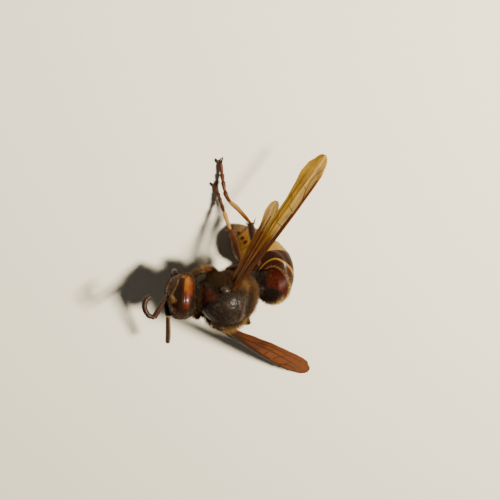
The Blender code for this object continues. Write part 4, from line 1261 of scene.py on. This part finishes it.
def grow_hairs(name, piece, count, seed, style, finish, lie=1.0):
    """Plants hairs on a piece: style gives their chance, length, uprightness and shade by root."""
    chance = np.random.default_rng(seed)
    roots, outward, along, seats, tints = skin_samples(piece, count, chance)
    local = (roots - np.array(ORIGIN)) / MM
    likely, lengths, upright, tints = style(local, seats, tints)
    kept = (chance.random(count) < likely) & (local[:, 2] > LOWEST_ROOT)
    roots, outward, along, seats, tints = (values[kept]
                                           for values in (roots, outward, along, seats, tints))
    total = len(roots)
    lengths = (lengths[kept] * chance.uniform(*HAIR_LENGTHS, total) * MM)[:, None]
    upright = upright[kept][:, None]
    stray = chance.normal(0.0, HAIR_STRAY, (total, 3))
    start = unit(outward * upright + along * lie * (1.0 - upright) * 0.6 + stray * 0.6)
    end = unit(outward * upright * 0.7 + along * lie * (1.15 - upright) + stray)
    foot = roots - outward * HAIR_ROOT_DEPTH * MM
    middle = roots + start * lengths * 0.5
    tip = middle + end * lengths * 0.5
    tip[:, 2] = np.maximum(tip[:, 2], LOWEST_TIP * MM)
    first_side = unit(np.cross(start, outward + along * 0.5 + stray * 0.1))
    second_side = np.cross(start, first_side)
    width = HAIR_WIDTH * MM * chance.uniform(*HAIR_WIDTHS, (total, 1))
    places, patches = [], []
    for centre, share in ((foot, 0.5), (middle, 0.36)):
        for turn in range(3):
            cosine, sine = math.cos(math.tau * turn / 3), math.sin(math.tau * turn / 3)
            places.append(centre + (first_side * cosine + second_side * sine) * width * share)
            patches.append(seats + HAIR_PATCH * share * 2 * np.array((cosine, sine)))
    places = np.stack((*places, tip), axis=1).reshape(-1, 3)
    patches = np.clip(np.stack((*patches, seats), axis=1).reshape(-1, 2), 0.0, 1.0)
    firsts = np.arange(total)[:, None, None] * HAIR_POINTS
    faces = (np.array(HAIR_FACES)[None] + firsts).reshape(-1, 3)
    data = bpy.data.meshes.new(name)
    data.from_pydata(places.tolist(), [], faces.tolist())
    data.uv_layers.new(name="OFBake").data.foreach_set("uv", patches[faces.ravel()].ravel())
    shade = np.clip(tints + chance.normal(0.0, HAIR_SHADE_STRAY, total), 0.0, 1.0)
    data.attributes.new("tint", "FLOAT", "POINT").data.foreach_set("value",
                                                                   np.repeat(shade, HAIR_POINTS))
    data.shade_smooth()
    data.materials.append(finish)
    coat = put_in_scene(name, data)
    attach(coat, "root")


def hair_finish(name, stops):
    """Hair whose colour follows the tint of the skin at its root."""
    finish, tree, shader = new_finish(name)
    feed(shader, {"Base Color": colour_ramp(tree, skin_tint(tree), stops), "Roughness": 0.5,
                  "Specular IOR Level": 0.15})
    return finish


def smooth(values, start, end):
    """What step gives, for each number of an array."""
    shares = np.clip((values - start) / (end - start), 0.0, 1.0)
    return shares * shares * (3 - 2 * shares)


def thorax_style(local, seats, tints):
    """The middle of the back is nearly bare, the fringe round it is long, and on the left flank it
    is longest and golden, partly its own colour and partly painted light.
    """
    x, y, z = (local - np.array(THORAX_CENTRE)).T
    edge = np.maximum.reduce([smooth(np.abs(y), 1.3, 2.5), 1 - smooth(z, -0.2, 1.6),
                              smooth(-x, 1.8, 2.8), smooth(x, 2.5, 3.1)])
    patch = np.exp(-((x + 1.75) ** 2 + (np.abs(y) - 2.35) ** 2 + (z - 0.6) ** 2) / 0.6)
    long_side = smooth(y, 1.8, 2.6)
    # The golden tint of the long left-flank hair is partly painted light.
    golden = np.maximum(0.5 * patch, 0.55 * long_side + 0.12 * smooth(-x, 2.2, 3.0))
    bare = 1 - 0.92 * np.exp(-((x - 2.15) ** 2 + (np.abs(y) - 1.3) ** 2) / 0.8)
    return ((0.1 + 0.6 * edge + 0.3 * long_side) * bare, 0.22 + 0.45 * edge + 0.5 * long_side,
            0.4 + 0.4 * edge, 0.1 + 0.2 * edge + golden)


def head_style(local, seats, tints):
    """The eyes are bare, and the crown, the face and the jowls below the cheeks are furry."""
    x, y, z = ((local - np.array(HEAD_CENTRE)) @ np.array(head_axes)).T
    crown = np.maximum(smooth(z, 1.6, 2.3), smooth(-x, 0.8, 1.3))
    face = smooth(x, 0.9, 1.3)
    eyes = np.array([inside_eye(point) > -0.05 for point in zip(x, y, z)])
    likely = np.where(eyes, 0.0, 0.12 + 0.88 * np.maximum(crown, face * 0.6))
    jowl = smooth(-z, 1.2, 1.9) * (1 - smooth(x, 0.3, 0.7)) * ~eyes
    lengths = 0.18 + 0.14 * crown * (1 - smooth(z, 1.9, 2.3)) + 0.06 * face + 0.2 * jowl
    return np.maximum(likely, 0.9 * jowl), lengths, 0.35 + 0.2 * crown, 0.12 + 0.4 * tints


def gaster_style(local, seats, tints):
    """The waist end of the first ring has a golden band of long hairs, and the tail a tuft."""
    spot = seats[:, 1] * RING_ENDS[-1]
    degrees = (seats[:, 0] - 0.5) * 360
    rim = (np.exp(-((spot - 2.4) / 0.35) ** 2) * smooth(degrees, -40, 0)
           * (1 - smooth(degrees, 60, 110)))
    ring = np.maximum(np.exp(-((spot - 2.88) / 0.18) ** 2), 0.8 * rim)
    stalk = 1 - smooth(spot, 1.6, 2.2)
    tail = smooth(spot, 8.6, 9.6)
    shades = np.where(spot < 3.4, np.maximum(tints * 0.8, 0.9 * ring), tints * 0.8)
    return (np.clip(0.08 + ring + 0.25 * stalk + 0.5 * tail, 0.0, 1.0),
            0.2 + 0.26 * ring + 0.12 * rim + 0.15 * tail, 0.28 + 0.37 * ring + 0.2 * tail, shades)


def leg_style(local, seats, tints):
    """Thighs have the longer hairs; on the front legs, ahead of x = 1.2, they are a dense fur."""
    thigh = seats[:, 0] < 0.75
    front = local[:, 0] > 1.2
    return (np.full(len(tints), 1.0), np.where(thigh | front, 0.45, 0.26),
            np.where(thigh, 0.5, 0.32), tints + np.where(front, 0.25, 0.0))


def foot_style(local, seats, tints):
    """Feet have a close coat of short hairs."""
    return *(np.full(len(tints), value) for value in (1.0, 0.14, 0.35)), tints


THORAX_HAIRS = 26000
HEAD_HAIRS = 9000
WAIST_RING_HAIRS = 14000
RING_HAIRS = 3000
LEG_HAIRS = 800
FOOT_HAIRS = 500
FRONT_LEG_DENSITY = 2.6
body_hair = hair_finish("body_hair", ((0.0, (0.012, 0.007, 0.003)), (0.4, (0.06, 0.027, 0.008)),
                                      (1.0, (0.21, 0.11, 0.026))))
gaster_hair = hair_finish("gaster_hair", ((0.0, (0.02, 0.009, 0.004)), (0.4, (0.07, 0.035, 0.012)),
                                          (1.0, (0.46, 0.28, 0.1))))
limb_hair = hair_finish("limb_hair", ((0.0, (0.02, 0.01, 0.004)), (0.5, (0.08, 0.03, 0.01)),
                                      (1.0, (0.35, 0.2, 0.06))))
grow_hairs("thorax_hairs", thorax, THORAX_HAIRS, 11, thorax_style, body_hair,
           lie=-1.0)
grow_hairs("head_hairs", head, HEAD_HAIRS, 12, head_style, body_hair, lie=-1.0)
for number, ring in enumerate(gaster_rings, 1):
    grow_hairs("gaster_hairs_%d" % number, ring, WAIST_RING_HAIRS if number == 1 else RING_HAIRS,
               20 + number, gaster_style, gaster_hair)
for number, piece in enumerate(leg_pieces):
    count, style, slot = ((FOOT_HAIRS, foot_style, "feet") if piece.name.startswith("foot")
                          else (LEG_HAIRS, leg_style, "legs"))
    density = FRONT_LEG_DENSITY if "front" in piece.name else 1.0
    grow_hairs("hairs_" + piece.name, piece, int(count * density), 40 + number, style, limb_hair)
